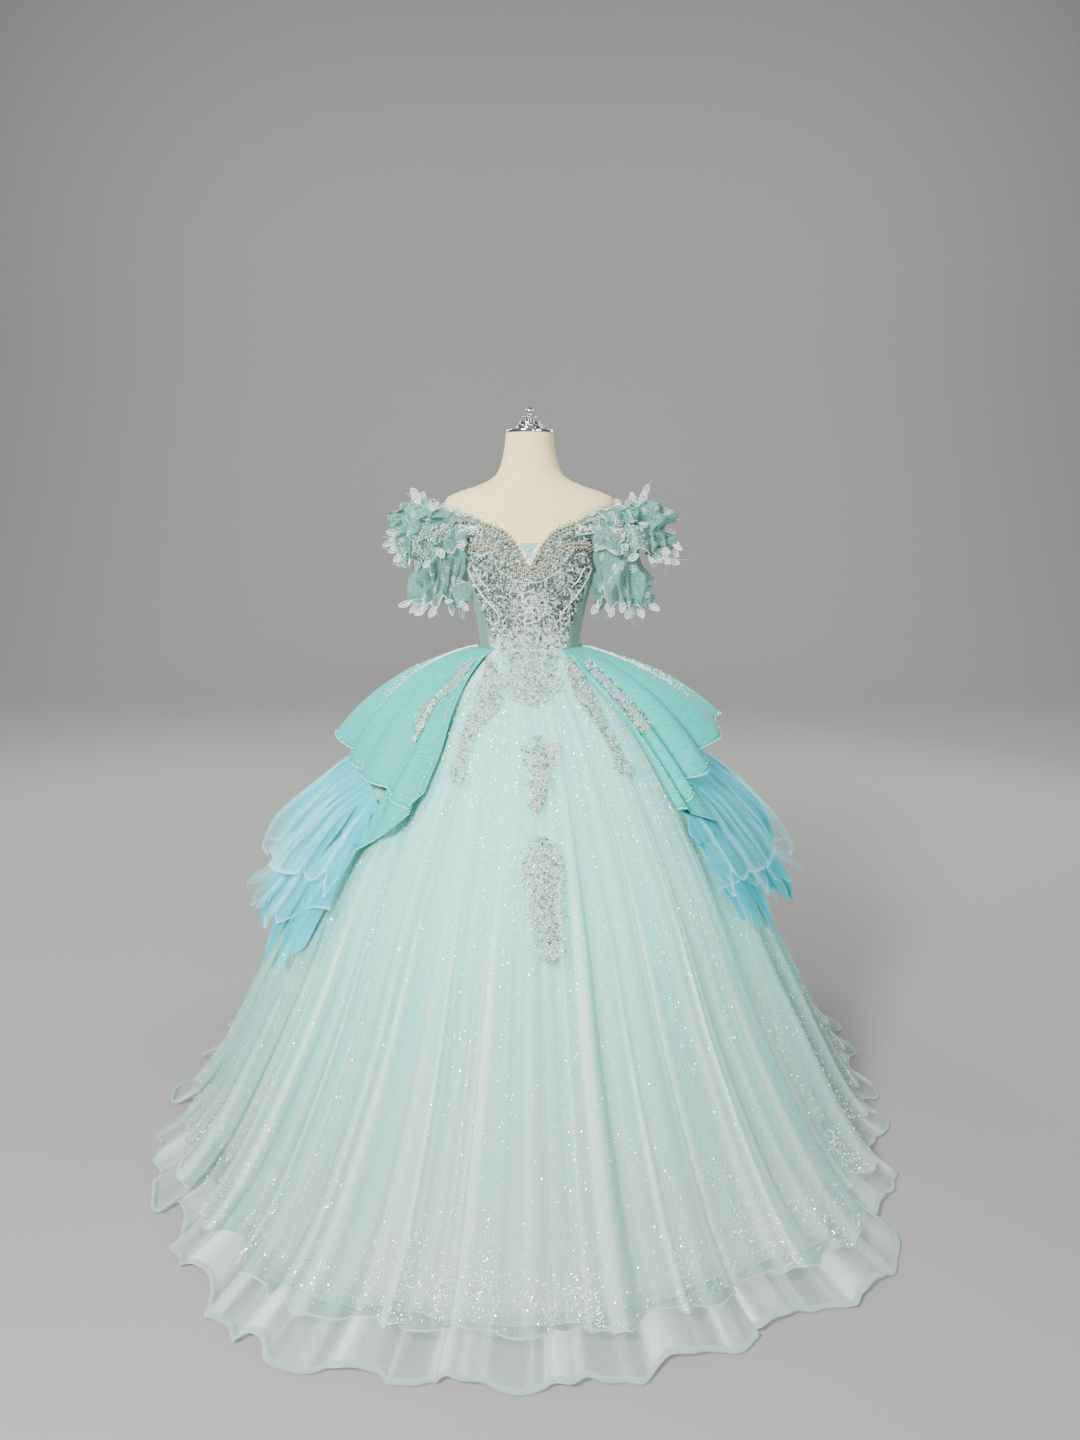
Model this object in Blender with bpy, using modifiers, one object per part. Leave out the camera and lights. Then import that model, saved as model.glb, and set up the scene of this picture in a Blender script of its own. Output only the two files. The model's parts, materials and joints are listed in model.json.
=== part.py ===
"""Ball gown on a limbless dress form.

Metres, +Z up. The gown's front faces -Y and the wearer's left side is +X. The origin is the
centre of the stand's flat foot, on the ground. A "turn" is an angle about the Z axis in degrees,
0 at centre front, positive towards +X, 180 at centre back. Cloth pieces are closed walls: an
outer face worked out from the garment's sizes and an inner face a wall's thickness inside it.
"""
import math
from typing import NamedTuple

import bmesh
import bpy
from mathutils import Vector

COLLECTION = "ball_gown_on_form"

# ------------------------------------------------------------------------------ driving sizes
WAIST_HEIGHT = 1.112          # seam between bodice and skirt
SEAM = 0.0003                 # gap between two pieces at a seam
LAYER = 0.0004                # gap between two layers that lie on each other
BODICE_WALL = 0.0015          # satin, lining and boning
TULLE_WALL = 0.0015           # gathered net, several layers at the waist
LACE_WALL = 0.0016            # beaded lace motifs
PEARL_WALL = 0.0035           # rows of pearls on their tape
WAIST_EASE = 0.0005           # bodice to form at the waist
BODY_EASE = 0.0027            # bodice to form above the waist
EASE_HEIGHT = 0.050           # over which the ease grows

FORM_SEGMENTS = 24
BODICE_ROWS = 7

SKIRT_FOLDS = 30              # soft folds round the overskirt
SKIRT_STEP = 3.0              # degrees between overskirt columns
GORE_TURN = 72.0              # each of the five gores
UNDERSKIRT_STEP = 9.0
UNDERSKIRT_FOLDS = 10
UNDERSKIRT_WAVE = 0.006
BRAID_WIDTH_SHARE = 0.14      # horsehair braid, share of the lowest step of the hem band
SLOPE = 1.6                   # a layer's thickness along a level line, where the skirt slopes
BRAID_LIFT = 0.0024           # braid face over the hem band
HEM_RISE = 0.009              # how far the hem lifts between two folds

POLE_RADIUS = 0.014
FOOT_TOP = 0.036

SLEEVE_START = 46.0           # where the shoulder band leaves the bodice front
SLEEVE_END = 134.0            # where it meets the bodice back
SLEEVE_STAND = 0.052          # how far the band stands out from the form's shoulder
SLEEVE_BAND = 0.026           # band height
RUFFLE_WAVES = 8
RUFFLE_COLUMNS = 24
LEAF_DEPTH = 0.010            # pointed leaf edge of the sleeve lace

BUSTLE_START = 52.0
BUSTLE_SWELL = {"left": 61.0, "right": 53.0}     # where the tiers begin to stand out
CENTRE_BACK = 179.96
BUSTLE_COLUMNS = 24
JAG_DEPTH = 0.020             # cut points along the tulle tiers
TIER_GAP = 0.026              # between the two tulle tiers
TIER_WAVE = 0.016             # depth of the tiers' gathers at their cut edge

SIDES = {"left": 1.0, "right": -1.0}


class BodyRow(NamedTuple):
    """The dress form's section at a height."""
    height: float
    side: float
    front: float
    back: float
    power: float


BODY = (
    BodyRow(0.860, 0.1500, 0.100, 0.112, 2.20),
    BodyRow(0.930, 0.1630, 0.110, 0.125, 2.20),
    BodyRow(1.000, 0.1500, 0.104, 0.118, 2.20),
    BodyRow(1.060, 0.1270, 0.094, 0.100, 2.00),
    BodyRow(1.112, 0.1145, 0.088, 0.085, 2.00),
    BodyRow(1.160, 0.1180, 0.092, 0.084, 2.10),
    BodyRow(1.220, 0.1300, 0.105, 0.090, 2.20),
    BodyRow(1.280, 0.1430, 0.116, 0.098, 2.30),
    BodyRow(1.320, 0.1500, 0.117, 0.103, 2.35),
    BodyRow(1.360, 0.1620, 0.108, 0.106, 2.40),
    BodyRow(1.400, 0.1830, 0.096, 0.104, 2.40),
    BodyRow(1.430, 0.1960, 0.086, 0.098, 2.40),
    BodyRow(1.448, 0.1925, 0.079, 0.092, 2.30),
    BodyRow(1.462, 0.1690, 0.074, 0.086, 2.20),
    BodyRow(1.480, 0.1140, 0.068, 0.078, 2.10),
    BodyRow(1.500, 0.0780, 0.063, 0.070, 2.00),
    BodyRow(1.520, 0.0670, 0.060, 0.062, 2.00),
    BodyRow(1.560, 0.0570, 0.055, 0.056, 2.00),
    BodyRow(1.594, 0.0530, 0.053, 0.053, 2.00),
)
CUP_TURN = 33.0
CUP_SPREAD = 15.0
CUP_HEIGHT = 1.312
CUP_RISE = 0.034
CUP_DEPTH = 0.009


class EdgeRow(NamedTuple):
    """A height that changes with the turn."""
    turn: float
    height: float


NECKLINE = (
    EdgeRow(0.0, 1.300), EdgeRow(6.0, 1.324), EdgeRow(12.0, 1.346), EdgeRow(20.0, 1.366),
    EdgeRow(28.0, 1.380), EdgeRow(40.0, 1.392), EdgeRow(52.0, 1.398), EdgeRow(66.0, 1.398),
    EdgeRow(80.0, 1.382), EdgeRow(95.0, 1.364), EdgeRow(115.0, 1.353), EdgeRow(150.0, 1.345),
    EdgeRow(180.0, 1.343),
)
LOWER_PEARLS = (
    EdgeRow(0.0, 1.288), EdgeRow(12.0, 1.302), EdgeRow(27.0, 1.334), EdgeRow(40.0, 1.352),
    EdgeRow(54.0, 1.352), EdgeRow(66.0, 1.340),
)
INSERT_TOP = 1.354
INSERT_TURN = 12.0
PEARL_BAND = 0.009

SLEEVE_TOP = (
    EdgeRow(46.0, 1.392), EdgeRow(60.0, 1.402), EdgeRow(75.0, 1.409), EdgeRow(90.0, 1.412),
    EdgeRow(110.0, 1.403), EdgeRow(134.0, 1.368),
)


class SkirtRow(NamedTuple):
    """The overskirt at a height: section, fold depth, share of the hem's lobes, lining gap."""
    height: float
    front: float
    side: float
    back: float
    fold: float
    lobe: float
    lining: float


SKIRT = (
    SkirtRow(1.1115, 0.0937, 0.1202, 0.0907, 0.000, 0.00, 0.0031),
    SkirtRow(1.0500, 0.1650, 0.1950, 0.1950, 0.003, 0.00, 0.0090),
    SkirtRow(0.9600, 0.2620, 0.3000, 0.3200, 0.005, 0.00, 0.0130),
    SkirtRow(0.8200, 0.3700, 0.3980, 0.4400, 0.008, 0.00, 0.0180),
    SkirtRow(0.6000, 0.5080, 0.5120, 0.5750, 0.012, 0.00, 0.0240),
    SkirtRow(0.3800, 0.6200, 0.6120, 0.6800, 0.016, 0.00, 0.0310),
    SkirtRow(0.1050, 0.8050, 0.7620, 0.8500, 0.022, 0.45, 0.0480),
    SkirtRow(0.0400, 0.8800, 0.8250, 0.9200, 0.024, 0.80, 0.0620),
    SkirtRow(0.0045, 0.9600, 0.8900, 0.9850, 0.022, 1.00, 0.0850),
)
HEM_SEAM_ROW = 7              # the hem band is sewn on here
HEM_EDGE_ROW = 8
UNDERSKIRT_HEM = 0.020


class HemRow(NamedTuple):
    """How far the hem lies from the middle, round the gown."""
    turn: float
    reach: float


HEM = (
    HemRow(-180.0, 0.975), HemRow(-125.0, 0.925), HemRow(-100.0, 0.850), HemRow(-84.0, 0.850),
    HemRow(-66.0, 0.905), HemRow(-52.0, 0.915), HemRow(-40.0, 0.960), HemRow(-26.0, 1.010),
    HemRow(-9.0, 0.975), HemRow(4.0, 0.975), HemRow(20.0, 0.955), HemRow(32.0, 0.950),
    HemRow(41.0, 1.000), HemRow(50.0, 0.945), HemRow(65.0, 0.862), HemRow(80.0, 0.840),
    HemRow(100.0, 0.845), HemRow(125.0, 0.925), HemRow(180.0, 0.975),
)


class DrapeRow(NamedTuple):
    """One fold line of a side drape, from the waist over its middle to its hem."""
    waist_turn: float
    hem_turn: float
    middle_radius: float
    middle_height: float
    hem_radius: float
    hem_height: float


DRAPE_BACK = (
    DrapeRow(110.0, 104.0, 0.312, 1.032, 0.424, 0.918),
    DrapeRow(122.0, 118.0, 0.330, 1.026, 0.472, 0.895),
    DrapeRow(135.0, 132.0, 0.318, 1.018, 0.440, 0.880),
    DrapeRow(150.0, 147.0, 0.338, 1.012, 0.482, 0.868),
    DrapeRow(165.0, 163.0, 0.324, 1.008, 0.448, 0.862),
    DrapeRow(179.8, 179.9, 0.330, 1.004, 0.464, 0.858),
)
DRAPE = {
    "right": (
        DrapeRow(50.0, 35.0, 0.250, 0.996, 0.380, 0.843),
        DrapeRow(55.0, 39.0, 0.266, 0.992, 0.414, 0.806),
        DrapeRow(61.0, 47.0, 0.262, 0.994, 0.402, 0.826),
        DrapeRow(68.0, 56.0, 0.285, 1.004, 0.406, 0.840),
        DrapeRow(75.0, 65.0, 0.296, 1.014, 0.426, 0.853),
        DrapeRow(83.0, 74.0, 0.303, 1.024, 0.418, 0.864),
        DrapeRow(91.0, 83.0, 0.312, 1.029, 0.440, 0.884),
        DrapeRow(100.0, 92.0, 0.316, 1.032, 0.454, 0.910),
    ) + DRAPE_BACK,
    "left": (
        DrapeRow(44.0, 49.0, 0.256, 0.988, 0.420, 0.794),
        DrapeRow(50.0, 53.0, 0.270, 0.988, 0.438, 0.800),
        DrapeRow(58.0, 58.0, 0.268, 0.996, 0.410, 0.834),
        DrapeRow(66.0, 65.0, 0.288, 1.006, 0.426, 0.850),
        DrapeRow(74.0, 73.0, 0.298, 1.018, 0.416, 0.884),
        DrapeRow(82.0, 82.0, 0.310, 1.030, 0.440, 0.908),
        DrapeRow(91.0, 91.0, 0.318, 1.038, 0.452, 0.942),
        DrapeRow(100.0, 98.0, 0.316, 1.036, 0.444, 0.930),
    ) + DRAPE_BACK,
}


class PointRow(NamedTuple):
    """The lower edge of a drape's folded-under corner, across its width."""
    turn: float
    height: float


DRAPE_POINT = {
    "right": (PointRow(37.0, 0.800), PointRow(44.0, 0.748), PointRow(51.5, 0.706)),
    "left": (PointRow(52.5, 0.782), PointRow(60.0, 0.757), PointRow(67.0, 0.732)),
}
POINT_COLUMNS = (1, 5)        # the drape's columns that the corner hangs between
POINT_STAND = {"left": 0.026, "right": 0.018}    # the corner's edge off the overskirt


class TierRow(NamedTuple):
    """A tulle tier's height at a turn: where it is sewn on and where it ends."""
    turn: float
    top: float
    hem: float


UPPER_TIER = (
    TierRow(52.0, 0.790, 0.690), TierRow(62.0, 0.820, 0.680), TierRow(72.0, 0.855, 0.665),
    TierRow(84.0, 0.900, 0.645), TierRow(100.0, 0.925, 0.630), TierRow(180.0, 0.920, 0.600),
)
LOWER_TIER = {
    "right": (TierRow(52.0, 0.740, 0.560), TierRow(60.0, 0.750, 0.465), TierRow(72.0, 0.770, 0.430),
              TierRow(90.0, 0.790, 0.395), TierRow(120.0, 0.790, 0.385), TierRow(180.0, 0.780, 0.365)),
    "left": (TierRow(52.0, 0.740, 0.600), TierRow(60.0, 0.750, 0.545), TierRow(72.0, 0.770, 0.500),
             TierRow(90.0, 0.790, 0.440), TierRow(120.0, 0.790, 0.395), TierRow(180.0, 0.780, 0.365)),
}


class PuffRow(NamedTuple):
    """How far the tulle tiers stand out from the overskirt at a height."""
    height: float
    stand: float


PUFF = (
    PuffRow(0.360, 0.022), PuffRow(0.450, 0.050), PuffRow(0.520, 0.066), PuffRow(0.600, 0.080),
    PuffRow(0.680, 0.088), PuffRow(0.770, 0.060), PuffRow(0.850, 0.028), PuffRow(0.930, 0.001),
)


class FrillRow(NamedTuple):
    """The sleeve's ruffle: drop from the band's top, reach outwards and wave depth."""
    drop: float
    reach: float
    wave: float


FRILL = (
    FrillRow(-0.034, 0.017, 0.006),
    FrillRow(0.004, 0.0024, 0.000),
    FrillRow(0.024, 0.036, 0.007),
    FrillRow(0.064, 0.060, 0.013),
    FrillRow(0.104, 0.055, 0.016),
)
FRILL_SPREAD = {"left": 1.30, "right": 1.0}
FALL_CENTRE = Vector((0.207, 0.002))
FALL_RADIUS = Vector((0.057, 0.062))
FALL_WRAP = 148.0
FALL_HEM = 1.208
FALL_START = 57.0
FALL_END = 123.0
FALL_WAVE = 0.010
FALL_ROWS = 3


class MotifRow(NamedTuple):
    """A beaded motif's half width along its middle line."""
    x: float
    height: float
    half_width: float


WAIST_LACE = (
    MotifRow(0.000, 1.1105, 0.072), MotifRow(0.000, 1.090, 0.064), MotifRow(0.002, 1.070, 0.056),
    MotifRow(0.004, 1.056, 0.068), MotifRow(0.008, 1.042, 0.064), MotifRow(0.008, 1.030, 0.052),
    MotifRow(0.006, 1.020, 0.044), MotifRow(0.006, 1.010, 0.018),
)
UPPER_MOTIF = (
    MotifRow(0.019, 0.955, 0.006), MotifRow(0.022, 0.944, 0.020), MotifRow(0.027, 0.932, 0.044),
    MotifRow(0.026, 0.918, 0.028), MotifRow(0.024, 0.905, 0.040), MotifRow(0.024, 0.892, 0.020),
    MotifRow(0.023, 0.870, 0.024), MotifRow(0.020, 0.850, 0.016), MotifRow(0.016, 0.832, 0.014),
    MotifRow(0.013, 0.814, 0.003),
)
LOWER_MOTIF = (
    MotifRow(0.024, 0.776, 0.008), MotifRow(0.026, 0.764, 0.026), MotifRow(0.029, 0.738, 0.040),
    MotifRow(0.030, 0.705, 0.047), MotifRow(0.031, 0.680, 0.038), MotifRow(0.032, 0.664, 0.034),
    MotifRow(0.036, 0.640, 0.036), MotifRow(0.038, 0.610, 0.026), MotifRow(0.040, 0.594, 0.030),
    MotifRow(0.041, 0.577, 0.030), MotifRow(0.040, 0.563, 0.010),
)
LANCE = {
    "inner_right": (MotifRow(-0.092, 1.100, 0.007), MotifRow(-0.086, 1.058, 0.020),
                    MotifRow(-0.090, 1.014, 0.032), MotifRow(-0.122, 0.970, 0.020),
                    MotifRow(-0.139, 0.931, 0.013), MotifRow(-0.148, 0.898, 0.011),
                    MotifRow(-0.150, 0.880, 0.019), MotifRow(-0.152, 0.864, 0.008)),
    "inner_left": (MotifRow(0.086, 1.098, 0.008), MotifRow(0.104, 1.058, 0.020),
                   MotifRow(0.128, 1.012, 0.022), MotifRow(0.152, 0.975, 0.014),
                   MotifRow(0.176, 0.937, 0.012), MotifRow(0.192, 0.906, 0.010),
                   MotifRow(0.203, 0.886, 0.019), MotifRow(0.209, 0.872, 0.007)),
    "outer_right": (MotifRow(-0.128, 1.088, 0.006), MotifRow(-0.166, 1.046, 0.013),
                    MotifRow(-0.205, 1.012, 0.017), MotifRow(-0.226, 0.985, 0.022),
                    MotifRow(-0.240, 0.958, 0.015), MotifRow(-0.252, 0.930, 0.006)),
    "outer_left": (MotifRow(0.130, 1.086, 0.006), MotifRow(0.160, 1.052, 0.013),
                   MotifRow(0.192, 1.020, 0.016), MotifRow(0.222, 0.990, 0.018),
                   MotifRow(0.240, 0.966, 0.020), MotifRow(0.248, 0.944, 0.008)),
}


class TurnedRow(NamedTuple):
    """A point of a turned outline."""
    radius: float
    height: float


NECK_CAP = (
    TurnedRow(0.0000, 1.6500), TurnedRow(0.0065, 1.6485), TurnedRow(0.0100, 1.6430),
    TurnedRow(0.0085, 1.6370), TurnedRow(0.0060, 1.6340), TurnedRow(0.0150, 1.6315),
    TurnedRow(0.0175, 1.6270), TurnedRow(0.0120, 1.6215), TurnedRow(0.0250, 1.6180),
    TurnedRow(0.0320, 1.6115), TurnedRow(0.0330, 1.6060), TurnedRow(0.0500, 1.6030),
    TurnedRow(0.0535, 1.5995), TurnedRow(0.0535, 1.5943), TurnedRow(0.0000, 1.5943),
)
STAND_FOOT = (
    TurnedRow(0.0000, FOOT_TOP), TurnedRow(0.0280, FOOT_TOP), TurnedRow(0.0340, 0.0290),
    TurnedRow(0.1780, 0.0140), TurnedRow(0.1900, 0.0090), TurnedRow(0.1900, 0.0000),
    TurnedRow(0.0000, 0.0000),
)


class Finish(NamedTuple):
    """A plain finish: colour, roughness and metallic value."""
    name: str
    colour: tuple
    roughness: float
    metallic: float


FORM_JERSEY = Finish("form_jersey", (0.80, 0.74, 0.66), 0.80, 0.0)
SILVER = Finish("polished_cap", (0.75, 0.76, 0.78), 0.18, 1.0)
STEEL = Finish("painted_stand", (0.72, 0.70, 0.66), 0.45, 0.0)
SATIN = Finish("bodice_satin", (0.36, 0.55, 0.50), 0.55, 0.0)
BEADS = Finish("beaded_lace", (0.66, 0.71, 0.66), 0.35, 0.3)
PEARLS = Finish("pearl_trim", (0.78, 0.74, 0.62), 0.25, 0.0)
NET = Finish("skirt_tulle", (0.58, 0.76, 0.74), 0.70, 0.0)
GLITTER = Finish("glitter_underskirt", (0.74, 0.78, 0.70), 0.50, 0.0)
ORGANZA = Finish("satin_organza", (0.36, 0.62, 0.60), 0.45, 0.0)
BLUE_TULLE = Finish("bustle_tulle", (0.24, 0.62, 0.72), 0.70, 0.0)
SLEEVE_LACE = Finish("sleeve_lace", (0.42, 0.62, 0.56), 0.65, 0.0)
BRAID = Finish("horsehair_braid", (0.62, 0.74, 0.74), 0.55, 0.0)


# ------------------------------------------------------------------------------ scene helpers
def clear_scene():
    """Remove everything that the scene holds."""
    for item in list(bpy.data.objects):
        bpy.data.objects.remove(item, do_unlink=True)


def new_collection(name):
    """A collection of that name under the scene."""
    made = bpy.data.collections.new(name)
    bpy.context.scene.collection.children.link(made)
    return made


def material(finish):
    """The finish's material, made once."""
    found = bpy.data.materials.get(finish.name)
    if found is not None:
        return found
    made = bpy.data.materials.new(finish.name)
    made.use_nodes = True
    shader = made.node_tree.nodes["Principled BSDF"]
    shader.inputs["Base Color"].default_value = (*finish.colour, 1.0)
    shader.inputs["Roughness"].default_value = finish.roughness
    shader.inputs["Metallic"].default_value = finish.metallic
    return made


def add_object(name, mesh, finish):
    """A named object of the gown's collection."""
    made = bpy.data.objects.new(name, mesh)
    bpy.data.collections[COLLECTION].objects.link(made)
    if finish is not None:
        mesh.materials.append(material(finish))
    return made


# ------------------------------------------------------------------------------ reading tables
def straight(rows, key):
    """The row at a key, read along straight lines between a table's rows."""
    upwards = rows if rows[0][0] < rows[-1][0] else rows[::-1]
    key = min(max(key, upwards[0][0]), upwards[-1][0])
    for low, high in zip(upwards, upwards[1:]):
        if key <= high[0]:
            share = (key - low[0]) / (high[0] - low[0])
            return type(low)(*(a + (b - a) * share for a, b in zip(low, high)))
    return upwards[-1]


def smooth(rows, key):
    """The row at a key, on a smooth curve through a table's rows that never overshoots them."""
    last = len(rows) - 1
    key = min(max(key, rows[0][0]), rows[last][0])
    i = 0
    while i < last - 1 and key > rows[i + 1][0]:
        i += 1
    span = rows[i + 1][0] - rows[i][0]
    t = (key - rows[i][0]) / span

    def rise(k, column):
        """The straight rise from row k to the next."""
        return (rows[k + 1][column] - rows[k][column]) / (rows[k + 1][0] - rows[k][0])

    def tangent(k, column):
        """The curve's rise at row k."""
        if k in (0, last):
            return rise(min(k, last - 1), column)
        before, after = rise(k - 1, column), rise(k, column)
        if before * after <= 0.0:
            return 0.0
        return 2.0 * before * after / (before + after)

    values = [key]
    for column in range(1, len(rows[0])):
        a, b = rows[i][column], rows[i + 1][column]
        ta, tb = tangent(i, column) * span, tangent(i + 1, column) * span
        values.append(a + t * (ta + t * (3 * (b - a) - 2 * ta - tb + t * (2 * (a - b) + ta + tb))))
    return type(rows[0])(*values)


def along(rows, place):
    """The row at a place between 0 and 1 along a table, on straight lines."""
    scaled = min(max(place, 0.0), 1.0) * (len(rows) - 1)
    i = min(int(scaled), len(rows) - 2)
    share = scaled - i
    return type(rows[0])(*(a + (b - a) * share for a, b in zip(rows[i], rows[i + 1])))


def ease(t):
    """A soft step from 0 to 1."""
    t = min(max(t, 0.0), 1.0)
    return t * t * (3.0 - 2.0 * t)


def steps(start, end, count):
    """Evenly spaced values, both ends included."""
    return [start + (end - start) * i / count for i in range(count + 1)]


# ------------------------------------------------------------------------------ body and skirt
def place(turn, radius, height):
    """The point at a turn, radius and height."""
    angle = math.radians(turn)
    return Vector((radius * math.sin(angle), -radius * math.cos(angle), height))


def section(turn, side, front, back, power=2.0):
    """Radius of a rounded section with unlike front and back depths."""
    across = abs(math.sin(math.radians(turn))) / side
    lengthways = math.cos(math.radians(turn))
    deep = abs(lengthways) / (front if lengthways > 0.0 else back)
    return (across ** power + deep ** power) ** (-1.0 / power)


def body_radius(turn, height):
    """Radius of the dress form."""
    row = smooth(BODY, height)
    return section(turn, row.side, row.front, row.back, row.power)


def bodice_radius(turn, height):
    """Radius of the bodice's outer face, with its two cups."""
    gap = WAIST_EASE + (BODY_EASE - WAIST_EASE) * ease((height - WAIST_HEIGHT) / EASE_HEIGHT)
    cup = math.exp(-((abs(turn) - CUP_TURN) / CUP_SPREAD) ** 2)
    cup *= math.exp(-((height - CUP_HEIGHT) / CUP_RISE) ** 2)
    return body_radius(turn, height) + gap + BODICE_WALL + CUP_DEPTH * cup


def fold_strength(turn):
    """How deep the overskirt's folds are round the gown: soft at centre front, uneven elsewhere."""
    angle = math.radians(turn)
    uneven = 1.0 + 0.30 * math.sin(5 * angle + 0.8) + 0.20 * math.sin(11 * angle + 2.1)
    return uneven * (1.0 - 0.60 * math.exp(-(turn / 16.0) ** 2))


def fold_wave(turn):
    """The overskirt's folds, -1 in a trough and 1 on a crest."""
    angle = math.radians(turn)
    return math.cos(SKIRT_FOLDS * angle + 0.9 * math.sin(3 * angle + 0.5))


def skirt_base(turn, row):
    """Radius of the overskirt without its folds."""
    plain = section(turn, row.side, row.front, row.back)
    edge = SKIRT[HEM_EDGE_ROW]
    flat = section(turn, edge.side, edge.front, edge.back)
    return plain * (1.0 + row.lobe * (smooth(HEM, turn).reach / flat - 1.0))


def skirt_point(turn, step):
    """The overskirt's outer face; a step counts the skirt table's rows downwards."""
    turn = (turn + 180.0) % 360.0 - 180.0
    i = min(max(int(step), 0), HEM_EDGE_ROW - 1)
    share = step - i
    row = SkirtRow(*(a + (b - a) * share for a, b in zip(SKIRT[i], SKIRT[i + 1])))
    wave = fold_wave(turn)
    radius = skirt_base(turn, row) + row.fold * fold_strength(turn) * wave
    rise = HEM_RISE * max(step - HEM_SEAM_ROW, 0.0) * 0.5 * (1.0 - wave)
    return place(turn, radius, row.height + rise)


def skirt_reach(turn, height):
    """The furthest that the overskirt's crests come out at a turn and height."""
    row = straight(SKIRT, height)
    return skirt_base(turn, row) + row.fold * fold_strength(turn)


# ------------------------------------------------------------------------------ wall builder
def outward(surface, u, v, du, dv):
    """Unit normal of a surface whose u runs round the gown and whose v runs down."""
    across = surface(u + du, v) - surface(u - du, v)
    down = surface(u, v + dv) - surface(u, v - dv)
    return down.cross(across).normalized()


def wall(name, surface, columns, rows, thickness, finish, lift=0.0, closed=False, nudge=(0.02, 0.02)):
    """A closed cloth wall: outer face at the surface plus lift, inner face a thickness inside."""
    mesh = bpy.data.meshes.new(name)
    build = bmesh.new()
    outer, inner = [], []
    for u in columns:
        points = [(surface(u, v), outward(surface, u, v, *nudge)) for v in rows]
        outer.append([build.verts.new(p + n * lift) for p, n in points])
        inner.append([build.verts.new(p + n * (lift - thickness)) for p, n in points])
    strips = len(columns) if closed else len(columns) - 1
    for i in range(strips):
        k = (i + 1) % len(columns)
        for j in range(len(rows) - 1):
            a, b, c, d = outer[i][j], outer[i][j + 1], outer[k][j + 1], outer[k][j]
            build.faces.new((a, b, c))
            build.faces.new((a, c, d))
            a, b, c, d = inner[i][j], inner[i][j + 1], inner[k][j + 1], inner[k][j]
            build.faces.new((a, c, b))
            build.faces.new((a, d, c))
        for j in (0, len(rows) - 1):
            build.faces.new((outer[i][j], outer[k][j], inner[k][j], inner[i][j]))
    if not closed:
        for i in (0, len(columns) - 1):
            for j in range(len(rows) - 1):
                build.faces.new((outer[i][j], outer[i][j + 1], inner[i][j + 1], inner[i][j]))
    bmesh.ops.recalc_face_normals(build, faces=build.faces)
    build.to_mesh(mesh)
    build.free()
    return add_object(name, mesh, finish)


def motif_cutter(name, rows):
    """A guide block with a motif's outline, running from front to back through the skirt front."""
    outline = [(row.x - row.half_width, row.height) for row in rows]
    outline += [(row.x + row.half_width, row.height) for row in reversed(rows)]
    mesh = bpy.data.meshes.new(name)
    build = bmesh.new()
    face = build.faces.new([build.verts.new((x, -1.1, z)) for x, z in outline])
    pushed = bmesh.ops.extrude_face_region(build, geom=[face])
    moved = [item for item in pushed["geom"] if isinstance(item, bmesh.types.BMVert)]
    bmesh.ops.translate(build, verts=moved, vec=(0.0, 1.1, 0.0))
    bmesh.ops.recalc_face_normals(build, faces=build.faces)
    build.to_mesh(mesh)
    build.free()
    cutter = bpy.data.objects.new(name, mesh)
    cutter.hide_render = True
    cutter.display_type = "WIRE"
    bpy.data.collections["cutters"].objects.link(cutter)
    return cutter


def motif(name, surface, columns, rows, outline):
    """A beaded lace motif: the cloth under it, moved out by a layer, inside the motif's outline."""
    made = wall(name, surface, columns, rows, LACE_WALL, BEADS, lift=LAYER + LACE_WALL)
    trim = made.modifiers.new("outline", "BOOLEAN")
    trim.operation = "INTERSECT"
    trim.solver = "EXACT"
    trim.object = motif_cutter(name + "_outline", outline)
    return made


def turned(name, rows, segments, finish):
    """A turned solid from its outline, which runs down the outer side from top to bottom."""
    mesh = bpy.data.meshes.new(name)
    points = [(row.radius, 0.0, row.height) for row in rows]
    mesh.from_pydata(points, [(i, i + 1) for i in range(len(points) - 1)], [])
    made = add_object(name, mesh, finish)
    spin = made.modifiers.new("turning", "SCREW")
    spin.axis = "Z"
    spin.steps = segments
    spin.render_steps = segments
    spin.use_merge_vertices = True
    spin.merge_threshold = 0.00005
    return made


# ------------------------------------------------------------------------------ dress form
def build_form():
    """The limbless torso with its neck cap, pole and flat foot."""
    mesh = bpy.data.meshes.new("form_torso")
    build = bmesh.new()
    rings = []
    turns = [360.0 * i / FORM_SEGMENTS for i in range(FORM_SEGMENTS)]
    heights = [row.height for row in BODY]
    waist = [(low + high) / 2 for low, high in zip(heights, heights[1:]) if 1.10 < low < 1.30]
    for height in sorted(heights + waist):
        rings.append([build.verts.new(place(t, body_radius(t, height), height)) for t in turns])
    for low, high in zip(rings, rings[1:]):
        for i in range(FORM_SEGMENTS):
            k = (i + 1) % FORM_SEGMENTS
            build.faces.new((low[i], low[k], high[k], high[i]))
    build.faces.new(rings[0])
    build.faces.new(rings[-1])
    bmesh.ops.recalc_face_normals(build, faces=build.faces)
    build.to_mesh(mesh)
    build.free()
    add_object("form_torso", mesh, FORM_JERSEY)
    turned("form_neck_cap", NECK_CAP, 16, SILVER)
    turned("form_foot", STAND_FOOT, 28, STEEL)
    low, high = FOOT_TOP + SEAM, BODY[0].height - SEAM
    bpy.ops.mesh.primitive_cylinder_add(vertices=16, radius=POLE_RADIUS, depth=high - low,
                                        location=(0.0, 0.0, (low + high) / 2))
    pole = bpy.context.object
    pole.name = "form_pole"
    pole.data.name = "form_pole"
    pole.data.materials.append(material(STEEL))
    for holder in list(pole.users_collection):
        holder.objects.unlink(pole)
    bpy.data.collections[COLLECTION].objects.link(pole)


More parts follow.
